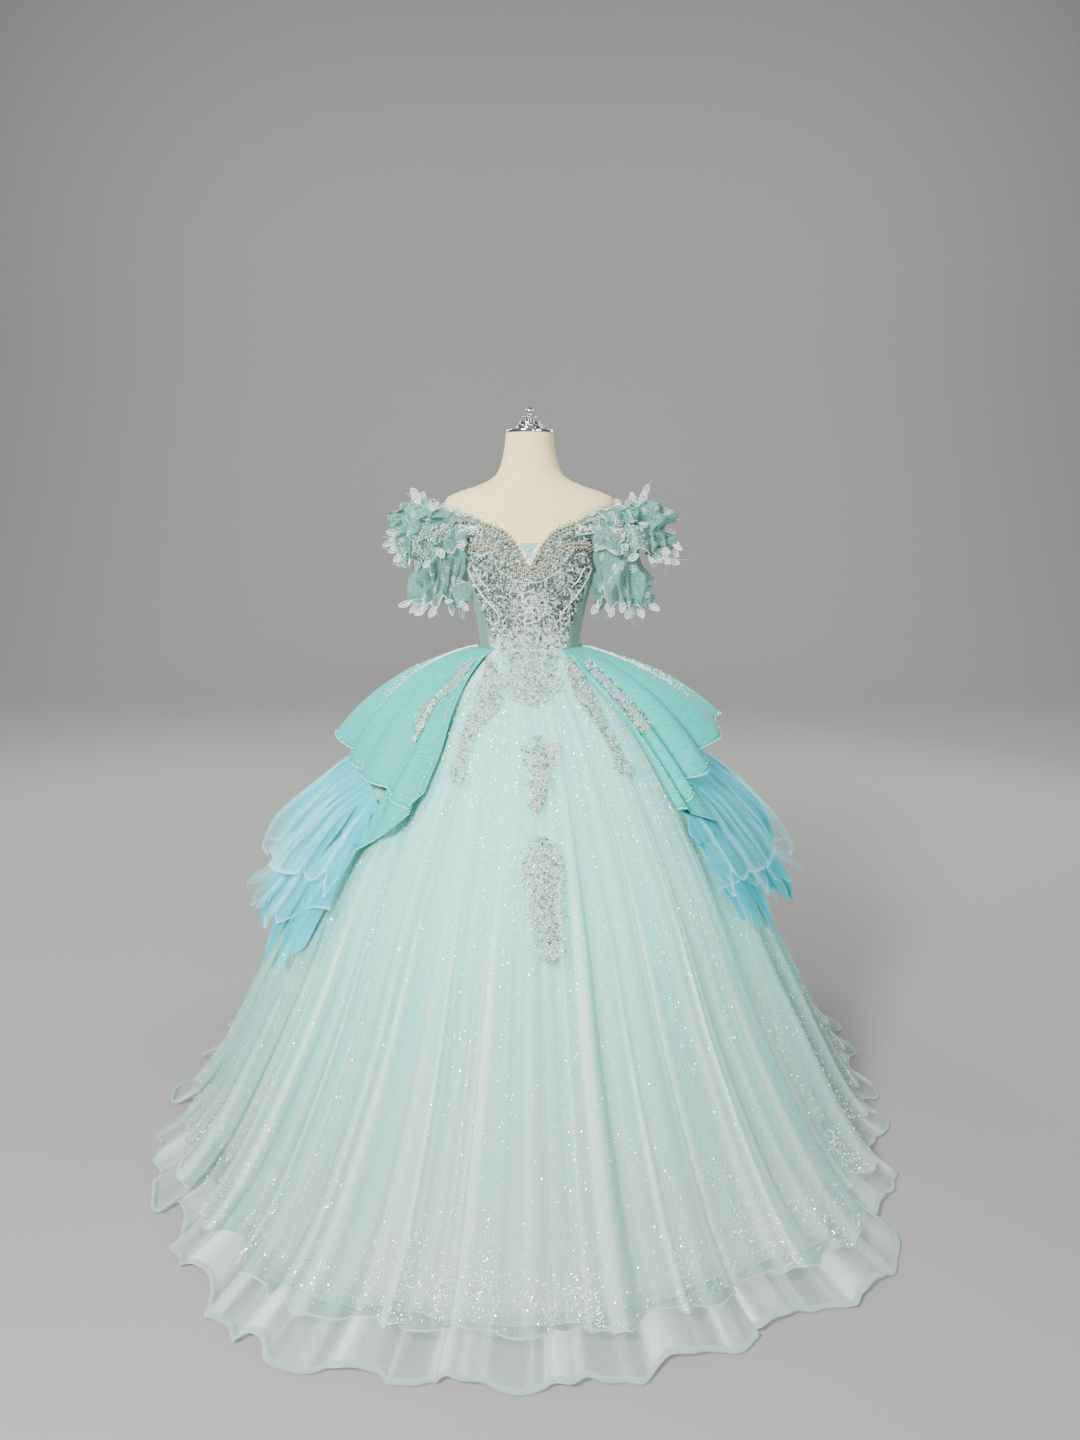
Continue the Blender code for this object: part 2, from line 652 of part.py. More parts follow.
# ------------------------------------------------------------------------------ bodice
def bodice_panel(name, start, end, count):
    """One bodice panel between two turns, from the neckline to the waist seam."""
    inset = math.degrees(0.5 * SEAM / BODY[4].front)

    def surface(turn, share):
        """The panel's outer face, share 0 at the neckline and 1 at the waist."""
        top = smooth(NECKLINE, abs(turn)).height
        height = top + (WAIST_HEIGHT + SEAM - top) * share
        return place(turn, bodice_radius(turn, height), height)

    columns = steps(start, end, count)
    columns[0] += inset
    columns[-1] -= inset
    wall(name, surface, columns, steps(0.0, 1.0, BODICE_ROWS), BODICE_WALL, SATIN, nudge=(1.0, 0.02))


def build_bodice():
    """The bodice's seven panels, its neckline insert and its two rows of pearls."""
    bodice_panel("bodice_front", -30.0, 30.0, 10)
    for side, sign in SIDES.items():
        panels = (("bodice_side_front_", 30.0, 60.0, 4), ("bodice_side_", 60.0, 105.0, 6),
                  ("bodice_back_", 105.0, 180.0, 10))
        for name, near, far, count in panels:
            start, end = sorted((sign * near, sign * far))
            bodice_panel(name + side, start, end, count)

    def insert(turn, share):
        """The insert's outer face, from its straight top to just above the bodice's edge."""
        low = smooth(NECKLINE, abs(turn)).height + SEAM
        height = INSERT_TOP + (low - INSERT_TOP) * share
        return place(turn, body_radius(turn, height) + 0.0031, height)

    wall("neckline_insert", insert, steps(-INSERT_TURN, INSERT_TURN, 4), (0.0, 0.5, 1.0),
         0.0012, SATIN, nudge=(1.0, 0.02))

    def pearl_row(table, inset):
        """A band on the bodice that follows a table of heights."""
        def surface(turn, share):
            """The band's face, share 0 at its upper edge."""
            height = smooth(table, abs(turn)).height - inset - PEARL_BAND * share
            return place(turn, bodice_radius(turn, height), height)
        return surface

    lift = LAYER + PEARL_WALL + 0.0003
    wall("neckline_pearls_upper", pearl_row(NECKLINE, 0.001), steps(-42.0, 42.0, 14),
         (0.0, 1.0), PEARL_WALL, PEARLS, lift=lift, nudge=(1.0, 0.1))
    wall("neckline_pearls_lower", pearl_row(LOWER_PEARLS, 0.0), steps(-60.0, 60.0, 20),
         (0.0, 1.0), PEARL_WALL, PEARLS, lift=lift, nudge=(1.0, 0.1))


# ------------------------------------------------------------------------------ sleeves
def sleeve_stand(turn):
    """How far the shoulder band stands off the bodice."""
    share = (turn - SLEEVE_START) / (SLEEVE_END - SLEEVE_START)
    return SLEEVE_STAND * max(math.sin(math.pi * min(max(share, 0.0), 1.0)), 0.0) ** 1.3


def band_radius(turn):
    """Radius of the shoulder band's outer face."""
    top = smooth(SLEEVE_TOP, turn).height
    hug = max(bodice_radius(turn, top - SLEEVE_BAND * share) for share in (0.0, 0.5, 1.0))
    return hug + LAYER + TULLE_WALL + sleeve_stand(turn)


def build_sleeve(side, sign):
    """One off-shoulder sleeve: its band, the ruffle over it and the fall below it."""
    def band(turn, share):
        """The band's outer face."""
        top = smooth(SLEEVE_TOP, abs(turn)).height
        return place(turn, band_radius(abs(turn)), top - SLEEVE_BAND * share)

    def between(low, high, count):
        """Turns on this side of the gown, always rising."""
        return sorted(sign * turn for turn in steps(low, high, count))

    wall("sleeve_band_" + side, band, between(SLEEVE_START, SLEEVE_END, 14), (0.0, 1.0),
         TULLE_WALL, SATIN, nudge=(1.0, 0.1))

    spread = FRILL_SPREAD[side]
    first, last = SLEEVE_START + 1.5, SLEEVE_END - 1.5

    def ruffle(turn, step):
        """The gathered ruffle's outer face; a step counts the frill table's rows."""
        share = (abs(turn) - first) / (last - first)
        row = along(FRILL, step / (len(FRILL) - 1))
        taper = 0.16 + 0.84 * max(math.sin(math.pi * min(max(share, 0.0), 1.0)), 0.0) ** 0.8
        phase = 2.0 * math.pi * RUFFLE_WAVES * share
        reach = FRILL[1].reach
        radius = band_radius(abs(turn)) + reach + (row.reach - reach) * taper * spread
        radius += row.wave * taper * math.cos(phase)
        height = smooth(SLEEVE_TOP, abs(turn)).height - row.drop * (0.40 + 0.60 * taper)
        edge = max(step - len(FRILL) + 2, 0.0)
        heading = max(1.0 - step, 0.0)
        height += LEAF_DEPTH * (edge - heading) * math.cos(math.pi * RUFFLE_COLUMNS * share)
        return place(turn, radius, height)

    wall("sleeve_ruffle_" + side, ruffle, between(first, last, RUFFLE_COLUMNS),
         [float(i) for i in range(len(FRILL))], TULLE_WALL, SLEEVE_LACE, nudge=(1.2, 0.2))

    def fall(place_share, share):
        """The lower flounce, from the band's lower edge to a curl round the arm's place."""
        run = place_share if sign > 0 else 1.0 - place_share
        turn = FALL_START + (FALL_END - FALL_START) * run
        top = band(sign * turn, 1.0)
        wrap = math.radians(-FALL_WRAP + 2.0 * FALL_WRAP * run)
        wave = 1.0 + share * FALL_WAVE / FALL_RADIUS.x * math.cos(2.0 * math.pi * RUFFLE_WAVES * run)
        curl = Vector((sign * (FALL_CENTRE.x + FALL_RADIUS.x * wave * math.cos(wrap)),
                       FALL_CENTRE.y + FALL_RADIUS.y * wave * math.sin(wrap), 0.0))
        mix = ease(share)
        start = top.z - 3.0 * SEAM
        height = start + (FALL_HEM - start) * share
        height += LEAF_DEPTH * share * share * math.cos(math.pi * RUFFLE_COLUMNS * run)
        return Vector((top.x + (curl.x - top.x) * mix, top.y + (curl.y - top.y) * mix, height))

    wall("sleeve_fall_" + side, fall, steps(0.0, 1.0, RUFFLE_COLUMNS),
         steps(0.0, 1.0, FALL_ROWS), TULLE_WALL, SLEEVE_LACE, nudge=(0.02, 0.08))


# ------------------------------------------------------------------------------ skirts
def build_underskirt():
    """The glitter underskirt: one closed flared tube inside the overskirt."""
    heights = [SKIRT[i].height for i in (0, 1, 3, 5)] + [0.150, UNDERSKIRT_HEM]

    def surface(turn, step):
        """The underskirt's outer face."""
        i = min(max(int(step), 0), len(heights) - 2)
        height = heights[i] + (heights[i + 1] - heights[i]) * (step - i)
        row = straight(SKIRT, height)
        signed = (turn + 180.0) % 360.0 - 180.0
        depth = min(UNDERSKIRT_WAVE, 0.6 * row.fold)
        wave = depth * (math.cos(math.radians(turn * UNDERSKIRT_FOLDS)) - 1.0)
        return place(turn, skirt_base(signed, row) - row.lining + wave, height)

    count = round(360.0 / UNDERSKIRT_STEP)
    wall("underskirt", surface, [UNDERSKIRT_STEP * i for i in range(count)],
         [float(i) for i in range(len(heights))], TULLE_WALL, GLITTER, closed=True, nudge=(1.0, 0.1))


GORES = (("front", 0.0), ("side_left", 72.0), ("back_left", 144.0), ("back_right", 216.0),
         ("side_right", 288.0))


def gore_columns(middle):
    """The columns of the gore round a turn, with half a seam left free on both sides."""
    count = round(GORE_TURN / SKIRT_STEP)
    return [middle - GORE_TURN / 2 + SKIRT_STEP * i for i in range(count + 1)]


def build_gore(name, middle):
    """One gore of the overskirt with its hem band and the braid along the hem."""
    columns = gore_columns(middle)
    last = len(columns) - 1

    def seamed(u, step):
        """The overskirt's face, held half a seam short at the gore's two edges."""
        point = skirt_point(u, step)
        short = 0.0
        if abs(u - columns[0]) < 0.001:
            short = 0.5
        if abs(u - columns[last]) < 0.001:
            short = -0.5
        radius = math.hypot(point.x, point.y)
        if short:
            point = skirt_point(u + math.degrees(short * LAYER / radius), step)
        return point

    nudge = (1.0, 0.1)
    tulle = [float(i) for i in range(HEM_SEAM_ROW + 1)]
    wall("tulle_" + name, seamed, columns, tulle, TULLE_WALL, NET, nudge=nudge)
    braid_top = HEM_EDGE_ROW - BRAID_WIDTH_SHARE
    band = (HEM_SEAM_ROW + 0.004, HEM_SEAM_ROW + 0.5, float(HEM_EDGE_ROW))
    wall("hem_band_" + name, seamed, columns, band, TULLE_WALL, NET, nudge=nudge)
    wall("hem_braid_" + name, seamed, columns, (braid_top, HEM_EDGE_ROW - 0.012), 0.0012, BRAID,
         lift=BRAID_LIFT, nudge=nudge)


def build_skirt_lace():
    """The beaded lace on the overskirt's front gore."""
    columns = [-60.0 + SKIRT_STEP * i for i in range(41)]
    upper = [0.0, 1.0, 2.0, 3.0, 4.0]
    motif("waist_lace", skirt_point, columns[8:-8], upper[:3], WAIST_LACE)
    motif("lace_motif_upper", skirt_point, columns[15:-13], upper[1:4], UPPER_MOTIF)
    motif("lace_motif_lower", skirt_point, columns[17:-15], [3.0, 4.0, 5.0], LOWER_MOTIF)
    for side in SIDES:
        motif("lance_inner_" + side, skirt_point, columns, upper[:4], LANCE["inner_" + side])


# ------------------------------------------------------------------------------ drapes, tulle
def drape_surface(side, sign):
    """The outer face of one side drape."""
    rows = DRAPE[side]
    waist = SKIRT[0]

    def surface(run, share):
        """Run 0 to 1 from the front edge to centre back, share 0 at the waist and 1 at the hem."""
        row = along(rows, run if sign > 0 else 1.0 - run)
        turn = row.waist_turn + (row.hem_turn - row.waist_turn) * ease(share * 1.2)
        top_radius = section(turn, waist.side, waist.front, waist.back) + SLOPE * (LAYER + TULLE_WALL)
        start = (1.0 - share) * (1.0 - 2.0 * share)
        middle = 4.0 * share * (1.0 - share)
        end = share * (2.0 * share - 1.0)
        radius = start * top_radius + middle * row.middle_radius + end * row.hem_radius
        height = start * (waist.height + 0.0020) + middle * row.middle_height + end * row.hem_height
        clear = skirt_reach(sign * turn, height) + SLOPE * (LAYER + TULLE_WALL)
        clear += 0.0085 * ease(share * 8.0)
        return place(sign * turn, max(radius, clear), height)

    return surface


def build_drape(side, sign):
    """One side drape, its folded-under corner and the beaded lace on it."""
    surface = drape_surface(side, sign)
    columns = steps(0.0, 1.0, 2 * (len(DRAPE[side]) - 1))
    rows = [0.0, 0.18, 0.44, 0.72, 1.0]
    nudge = (0.01, 0.04)
    wall("drape_" + side, surface, columns, rows, TULLE_WALL, ORGANZA, nudge=nudge)
    near = columns[:13] if sign > 0 else columns[-13:]
    motif("lance_outer_" + side, surface, near, rows, LANCE["outer_" + side])

    near_run, far_run = (columns[k] for k in POINT_COLUMNS)

    def corner(run, share):
        """The corner's face: caught to the inner edge of the drape's hem, a point below."""
        front_run = run if sign > 0 else 1.0 - run
        tip = along(DRAPE_POINT[side], (front_run - near_run) / (far_run - near_run))
        turn = sign * tip.turn
        edge = place(turn, skirt_reach(turn, tip.height) + POINT_STAND[side], tip.height)
        inside = outward(surface, run, rows[-1], *nudge) * (LAYER + TULLE_WALL)
        return (surface(run, rows[-1]) - inside).lerp(edge, share)

    first, last = POINT_COLUMNS
    hung = columns[first:last + 1] if sign > 0 else columns[-last - 1:-first]
    wall("drape_point_" + side, corner, hung, (0.0, 0.5, 1.0), TULLE_WALL, ORGANZA,
         nudge=(0.005, 0.1))


def build_bustle(side, sign):
    """The two gathered tulle tiers of one side, from the side front to centre back."""
    tiers = (("bustle_upper_", UPPER_TIER, 0.0), ("bustle_lower_", LOWER_TIER[side], 1.0))
    for name, table, inner in tiers:
        def surface(turn, share, table=table, inner=inner):
            """The tier's face, share 0 where it is sewn on and 1 at its cut points."""
            row = smooth(table, abs(turn))
            height = row.top + (row.hem - row.top) * share
            run = (abs(turn) - BUSTLE_START) / (CENTRE_BACK - BUSTLE_START)
            column = run * BUSTLE_COLUMNS
            height += JAG_DEPTH * share ** 3 * math.cos(math.pi * column)
            full = ease((abs(turn) - BUSTLE_SWELL[side]) / 34.0)
            stand = straight(PUFF, height).stand - inner * TIER_GAP * ease((height - 0.50) / 0.08)
            wave = TIER_WAVE * share * math.cos(2.0 * math.pi * column / 3.0)
            radius = skirt_reach(turn, height) + LAYER + TULLE_WALL + 0.0005
            radius += (0.0030 + (1.0 - inner) * 0.0045 * (1.0 - full)) * ease(share * 4.0)
            radius += full * ease(share * 2.5) * max(stand + wave, 0.0)
            return place(turn, radius, height)

        columns = sorted(sign * turn for turn in steps(BUSTLE_START, CENTRE_BACK, BUSTLE_COLUMNS))
        wall(name + side, surface, columns, (0.0, 0.35, 0.68, 1.0), TULLE_WALL, BLUE_TULLE,
             nudge=(1.5, 0.08))


def main():
    """Build the gown and its dress form."""
    clear_scene()
    new_collection(COLLECTION)
    new_collection("cutters").hide_render = True
    build_form()
    build_bodice()
    build_underskirt()
    for name, middle in GORES:
        build_gore(name, middle)
    build_skirt_lace()
    for side, sign in SIDES.items():
        build_sleeve(side, sign)
        build_drape(side, sign)
        build_bustle(side, sign)


main()
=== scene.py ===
"""Ball gown on a limbless dress form, as it is seen: cloth, lace, beads, glitter and the form.

Metres, +Z up. The gown's front faces -Y and the wearer's left side is +X. A "turn" is an angle
about the Z axis in degrees, 0 at centre front and positive towards +X. Cloth is thin sheets
that lie where the gown's solids lie, with finer folds; beads, cords and flakes are joined meshes.
"""
import json
import logging
import math
from dataclasses import dataclass, fields
from enum import Enum
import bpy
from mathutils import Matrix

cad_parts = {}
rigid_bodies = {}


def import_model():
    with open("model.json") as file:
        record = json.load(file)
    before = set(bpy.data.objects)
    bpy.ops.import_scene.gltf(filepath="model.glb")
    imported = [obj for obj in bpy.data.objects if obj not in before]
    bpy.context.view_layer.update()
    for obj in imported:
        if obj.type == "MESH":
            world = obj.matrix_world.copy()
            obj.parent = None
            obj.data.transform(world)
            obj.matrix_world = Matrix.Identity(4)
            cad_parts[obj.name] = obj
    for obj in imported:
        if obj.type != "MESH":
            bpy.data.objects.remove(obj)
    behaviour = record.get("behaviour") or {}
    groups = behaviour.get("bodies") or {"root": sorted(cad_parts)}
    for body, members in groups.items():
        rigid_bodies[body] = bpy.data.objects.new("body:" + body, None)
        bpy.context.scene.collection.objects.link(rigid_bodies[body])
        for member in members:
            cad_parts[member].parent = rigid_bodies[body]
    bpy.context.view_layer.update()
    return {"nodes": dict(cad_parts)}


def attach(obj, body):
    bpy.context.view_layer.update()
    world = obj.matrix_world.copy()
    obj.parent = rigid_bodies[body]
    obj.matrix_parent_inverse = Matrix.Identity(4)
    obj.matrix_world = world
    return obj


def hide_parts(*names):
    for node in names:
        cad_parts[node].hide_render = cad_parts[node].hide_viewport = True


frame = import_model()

from types import SimpleNamespace
from typing import Callable, Sequence, TypeVar

import bpy
import numpy as np

LOG = logging.getLogger("gown")
Array = np.ndarray
Piece = bpy.types.Object
Surface = Callable[[Array, Array], Array]
Row = TypeVar("Row")


# ------------------------------------------------------------------------------ sizes
WAIST = 1.112                 # seam between bodice and skirt
NET = 0.0015                  # thickness of gathered net
LAYER = 0.0004                # gap between layers
MAIN_FOLDS = 30.0             # round the overskirt
HEM_SEAM = 7.0                # skirt row where the hem band is sewn on
HEM_EDGE = 8.0                # skirt row of the hem itself
LAID = 1.6 * (LAYER + NET)    # how high a cloth laid on the tulle starts
WIDEST_CUT = 2.9              # a cut's width times its length, as a share of its area
TINY = 1e-12
SIDES = {"left": 1.0, "right": -1.0}
GORES = {"front": 0.0, "side_left": 72.0, "back_left": 144.0, "back_right": 216.0,
         "side_right": 288.0}
GORE_TURN = 72.0


def rows_of(kind: type[Row], *rows: tuple) -> tuple[Row, ...]:
    """A table's typed rows, from plain tuples in the order of the row's fields."""
    return tuple(kind(*row) for row in rows)


@dataclass(frozen=True)
class BodyRow:
    """The dress form's section at a height."""

    height: float
    side: float
    front: float
    back: float
    power: float


BODY = rows_of(
    BodyRow, (0.86, 0.15, 0.1, 0.112, 2.2), (0.93, 0.163, 0.11, 0.125, 2.2),
    (1.0, 0.15, 0.104, 0.118, 2.2), (1.06, 0.127, 0.094, 0.1, 2.0),
    (1.112, 0.1145, 0.088, 0.085, 2.0), (1.16, 0.118, 0.092, 0.084, 2.1),
    (1.22, 0.13, 0.105, 0.09, 2.2), (1.28, 0.143, 0.116, 0.098, 2.3),
    (1.32, 0.15, 0.117, 0.103, 2.35), (1.36, 0.162, 0.108, 0.106, 2.4),
    (1.4, 0.183, 0.096, 0.104, 2.4), (1.43, 0.196, 0.086, 0.098, 2.4),
    (1.448, 0.1925, 0.079, 0.092, 2.3), (1.462, 0.169, 0.074, 0.086, 2.2),
    (1.48, 0.114, 0.068, 0.078, 2.1), (1.5, 0.078, 0.063, 0.07, 2.0),
    (1.52, 0.067, 0.06, 0.062, 2.0), (1.56, 0.057, 0.055, 0.056, 2.0),
    (1.594, 0.053, 0.053, 0.053, 2.0))


@dataclass(frozen=True)
class EdgeRow:
    """A height at a turn."""

    turn: float
    height: float


NECKLINE = rows_of(
    EdgeRow, (0, 1.3), (6, 1.324), (12, 1.346), (20, 1.366), (28, 1.38), (40, 1.392), (52, 1.398),
    (66, 1.398), (80, 1.382), (95, 1.364), (115, 1.353), (150, 1.345), (180, 1.343))
LOWER_PEARLS = rows_of(
    EdgeRow, (0, 1.288), (12, 1.302), (27, 1.334), (40, 1.352), (54, 1.352), (66, 1.34))
SLEEVE_TOP = rows_of(
    EdgeRow, (46, 1.392), (60, 1.402), (75, 1.409), (90, 1.412), (110, 1.403), (134, 1.368))


@dataclass(frozen=True)
class SkirtRow:
    """The overskirt at a step down: height, section, fold depth, hem lobes, lining gap."""

    step: float
    height: float
    front: float
    side: float
    back: float
    fold: float
    lobe: float
    lining: float


SKIRT = rows_of(
    SkirtRow, (0, 1.1115, 0.0937, 0.1202, 0.0907, 0.0, 0.0, 0.0031),
    (1, 1.05, 0.165, 0.195, 0.195, 0.003, 0.0, 0.009),
    (2, 0.96, 0.262, 0.3, 0.32, 0.005, 0.0, 0.013), (3, 0.82, 0.37, 0.398, 0.44, 0.008, 0.0, 0.018),
    (4, 0.6, 0.508, 0.512, 0.575, 0.012, 0.0, 0.024),
    (5, 0.38, 0.62, 0.612, 0.68, 0.016, 0.0, 0.031),
    (6, 0.105, 0.805, 0.762, 0.85, 0.022, 0.45, 0.048),
    (7, 0.04, 0.88, 0.825, 0.92, 0.024, 0.8, 0.062),
    (8, 0.0045, 0.96, 0.89, 0.985, 0.022, 1.0, 0.085))


@dataclass(frozen=True)
class HemRow:
    """How far the hem lies from the middle, round the gown."""

    turn: float
    reach: float


HEM = rows_of(
    HemRow, (-180, 0.975), (-125, 0.925), (-100, 0.85), (-84, 0.85), (-66, 0.905), (-52, 0.915),
    (-40, 0.96), (-26, 1.01), (-9, 0.975), (4, 0.975), (20, 0.955), (32, 0.95), (41, 1.0),
    (50, 0.945), (65, 0.862), (80, 0.84), (100, 0.845), (125, 0.925), (180, 0.975))


@dataclass(frozen=True)
class PleatRow:
    """A tall soft pleat: its turn, half width, height, first step and lean (share of width)."""

    turn: float
    width: float
    height: float
    start: float
    lean: float


PLEATS = rows_of(
    PleatRow, (-176, 2.6, 0.014, 4.6, 0.6), (-163, 2.0, 0.011, 4.6, -0.5),
    (-151, 2.8, 0.016, 4.6, 0.6), (-140, 2.0, 0.01, 4.6, 0.5), (-128, 2.4, 0.014, 4.6, -0.6),
    (-117, 2.2, 0.012, 4.6, 0.6), (-106, 2.6, 0.015, 4.6, 0.5), (-95, 2.0, 0.011, 4.6, -0.5),
    (-85, 2.6, 0.016, 4.6, 0.6), (-75, 2.2, 0.013, 4.6, 0.6), (-66, 2.6, 0.018, 4.5, 0.7),
    (-58, 2.0, 0.015, 4.2, 0.6), (-50, 2.4, 0.02, 3.6, 0.7), (-44, 1.6, 0.014, 3.4, -0.5),
    (-37.5, 2.2, 0.019, 2.8, 0.7), (-31, 1.6, 0.013, 2.8, 0.6), (-24, 1.9, 0.012, 2.8, -0.5),
    (-15, 1.6, 0.007, 2.4, 0.5), (-6, 1.8, 0.005, 3.0, -0.4), (4, 1.5, 0.005, 2.8, 0.4),
    (12, 1.8, 0.008, 2.4, -0.5), (20, 1.4, 0.006, 3.0, 0.4), (28, 2.0, 0.009, 2.6, -0.5),
    (37, 1.7, 0.01, 3.2, -0.5), (46, 2.2, 0.013, 3.6, -0.6), (55, 1.8, 0.012, 4.2, -0.5),
    (64, 2.4, 0.015, 4.5, -0.6), (74, 2.0, 0.012, 4.6, 0.5), (84, 2.6, 0.015, 4.6, -0.6),
    (95, 2.2, 0.012, 4.6, 0.5), (106, 2.6, 0.015, 4.6, -0.6), (118, 2.0, 0.011, 4.6, -0.5),
    (129, 2.6, 0.015, 4.6, 0.6), (141, 2.2, 0.013, 4.6, -0.6), (153, 2.4, 0.014, 4.6, 0.5),
    (165, 2.0, 0.012, 4.6, -0.5))


@dataclass(frozen=True)
class CreaseRow:
    """A crease of a drape: its place along the run, half width and depth (ridges are positive)."""

    run: float
    width: float
    depth: float


CREASES = rows_of(
    CreaseRow, (0.03, 0.02, 0.012), (0.078, 0.017, -0.02), (0.13, 0.024, 0.016),
    (0.185, 0.018, -0.015), (0.245, 0.03, 0.013), (0.31, 0.02, -0.012), (0.375, 0.028, 0.012),
    (0.44, 0.021, -0.011), (0.505, 0.03, 0.013), (0.57, 0.019, -0.017), (0.64, 0.028, 0.015),
    (0.708, 0.018, -0.018), (0.77, 0.024, 0.015), (0.838, 0.019, -0.018), (0.905, 0.026, 0.014),
    (0.965, 0.016, -0.012))


@dataclass(frozen=True)
class DrapeRow:
    """One fold line of a side drape, from the waist over its middle to its hem."""

    waist_turn: float
    hem_turn: float
    middle_radius: float
    middle_height: float
    hem_radius: float
    hem_height: float


DRAPE_BACK = rows_of(
    DrapeRow, (110, 104, 0.312, 1.032, 0.424, 0.918), (122, 118, 0.33, 1.026, 0.472, 0.895),
    (135, 132, 0.318, 1.018, 0.44, 0.88), (150, 147, 0.338, 1.012, 0.482, 0.868),
    (165, 163, 0.324, 1.008, 0.448, 0.862), (179.8, 179.9, 0.33, 1.004, 0.464, 0.858))
DRAPE = {
    "right": rows_of(
        DrapeRow, (50, 35, 0.25, 0.996, 0.38, 0.843), (55, 39, 0.266, 0.992, 0.414, 0.806),
        (61, 47, 0.262, 0.994, 0.402, 0.826), (68, 56, 0.285, 1.004, 0.406, 0.84),
        (75, 65, 0.296, 1.014, 0.426, 0.853), (83, 74, 0.303, 1.024, 0.418, 0.864),
        (91, 83, 0.312, 1.029, 0.44, 0.884), (100, 92, 0.316, 1.032, 0.454, 0.91)) + DRAPE_BACK,
    "left": rows_of(
        DrapeRow, (44, 49, 0.256, 0.988, 0.42, 0.794), (50, 53, 0.27, 0.988, 0.438, 0.8),
        (58, 58, 0.268, 0.996, 0.41, 0.834), (66, 65, 0.288, 1.006, 0.426, 0.85),
        (74, 73, 0.298, 1.018, 0.416, 0.884), (82, 82, 0.31, 1.03, 0.44, 0.908),
        (91, 91, 0.318, 1.038, 0.452, 0.942), (100, 98, 0.316, 1.036, 0.444, 0.93)) + DRAPE_BACK,
}
POINT_COLUMNS = (1, 5)        # drape fold lines, counted in halves, that the corner hangs between


@dataclass(frozen=True)
class PointRow:
    """The lower edge of a drape's folded-under corner, across its width."""

    share: float
    turn: float
    height: float


DRAPE_POINT = {
    "right": rows_of(
        PointRow, (0.0, 37.0, 0.8), (0.5, 44.0, 0.748), (1.0, 51.5, 0.706)),
    "left": rows_of(
        PointRow, (0.0, 52.5, 0.782), (0.5, 60.0, 0.757), (1.0, 67.0, 0.732)),
}
POINT_STAND = {"left": 0.026, "right": 0.018}


@dataclass(frozen=True)
class TierRow:
    """A tulle tier's height at a turn: where it is sewn on and where it ends."""

    turn: float
    top: float
    hem: float


UPPER_TIER = rows_of(
    TierRow, (52, 0.79, 0.69), (62, 0.82, 0.68), (72, 0.855, 0.665), (84, 0.9, 0.645),
    (100, 0.925, 0.63), (180, 0.92, 0.6))
LOWER_TIER = {
    "right": rows_of(
        TierRow, (52, 0.74, 0.56), (60, 0.75, 0.465), (72, 0.77, 0.43), (90, 0.79, 0.395),
        (120, 0.79, 0.385), (180, 0.78, 0.365)),
    "left": rows_of(
        TierRow, (52, 0.74, 0.6), (60, 0.75, 0.545), (72, 0.77, 0.5), (90, 0.79, 0.44),
        (120, 0.79, 0.395), (180, 0.78, 0.365)),
}
BUSTLE_START, CENTRE_BACK = 52.0, 179.96
BUSTLE_SWELL = {"left": 61.0, "right": 53.0}


@dataclass(frozen=True)
class PuffRow:
    """How far the tulle tiers stand out from the overskirt at a height."""

    height: float
    stand: float


PUFF = rows_of(
    PuffRow, (0.36, 0.022), (0.45, 0.05), (0.52, 0.066), (0.6, 0.08), (0.68, 0.088), (0.77, 0.06),
    (0.85, 0.028), (0.93, 0.001))


@dataclass(frozen=True)
class FrillRow:
    """The sleeve's ruffle at a step down: drop, reach outwards and wave depth."""

    step: float
    drop: float
    reach: float
    wave: float


FRILL = rows_of(
    FrillRow, (0, -0.034, 0.017, 0.006), (1, 0.004, 0.0024, 0.0), (2, 0.024, 0.036, 0.007),
    (3, 0.064, 0.06, 0.013), (4, 0.104, 0.055, 0.016))
TOP_FRILL = rows_of(
    FrillRow, (0, 0.004, 0.0024, 0.0), (1, -0.022, 0.016, 0.007), (2, -0.02, 0.036, 0.011),
    (3, 0.004, 0.05, 0.014), (4, 0.034, 0.05, 0.016))
FRILL_SPREAD = {"left": 1.30, "right": 1.0}
SLEEVE_START, SLEEVE_END = 46.0, 134.0
SLEEVE_BAND, SLEEVE_STAND = 0.026, 0.052
RUFFLE_WAVES = 8
LEAF_DEPTH = 0.010


@dataclass(frozen=True)
class MotifRow:
    """A beaded motif's middle line and half width at a height."""

    height: float
    x: float
    half_width: float


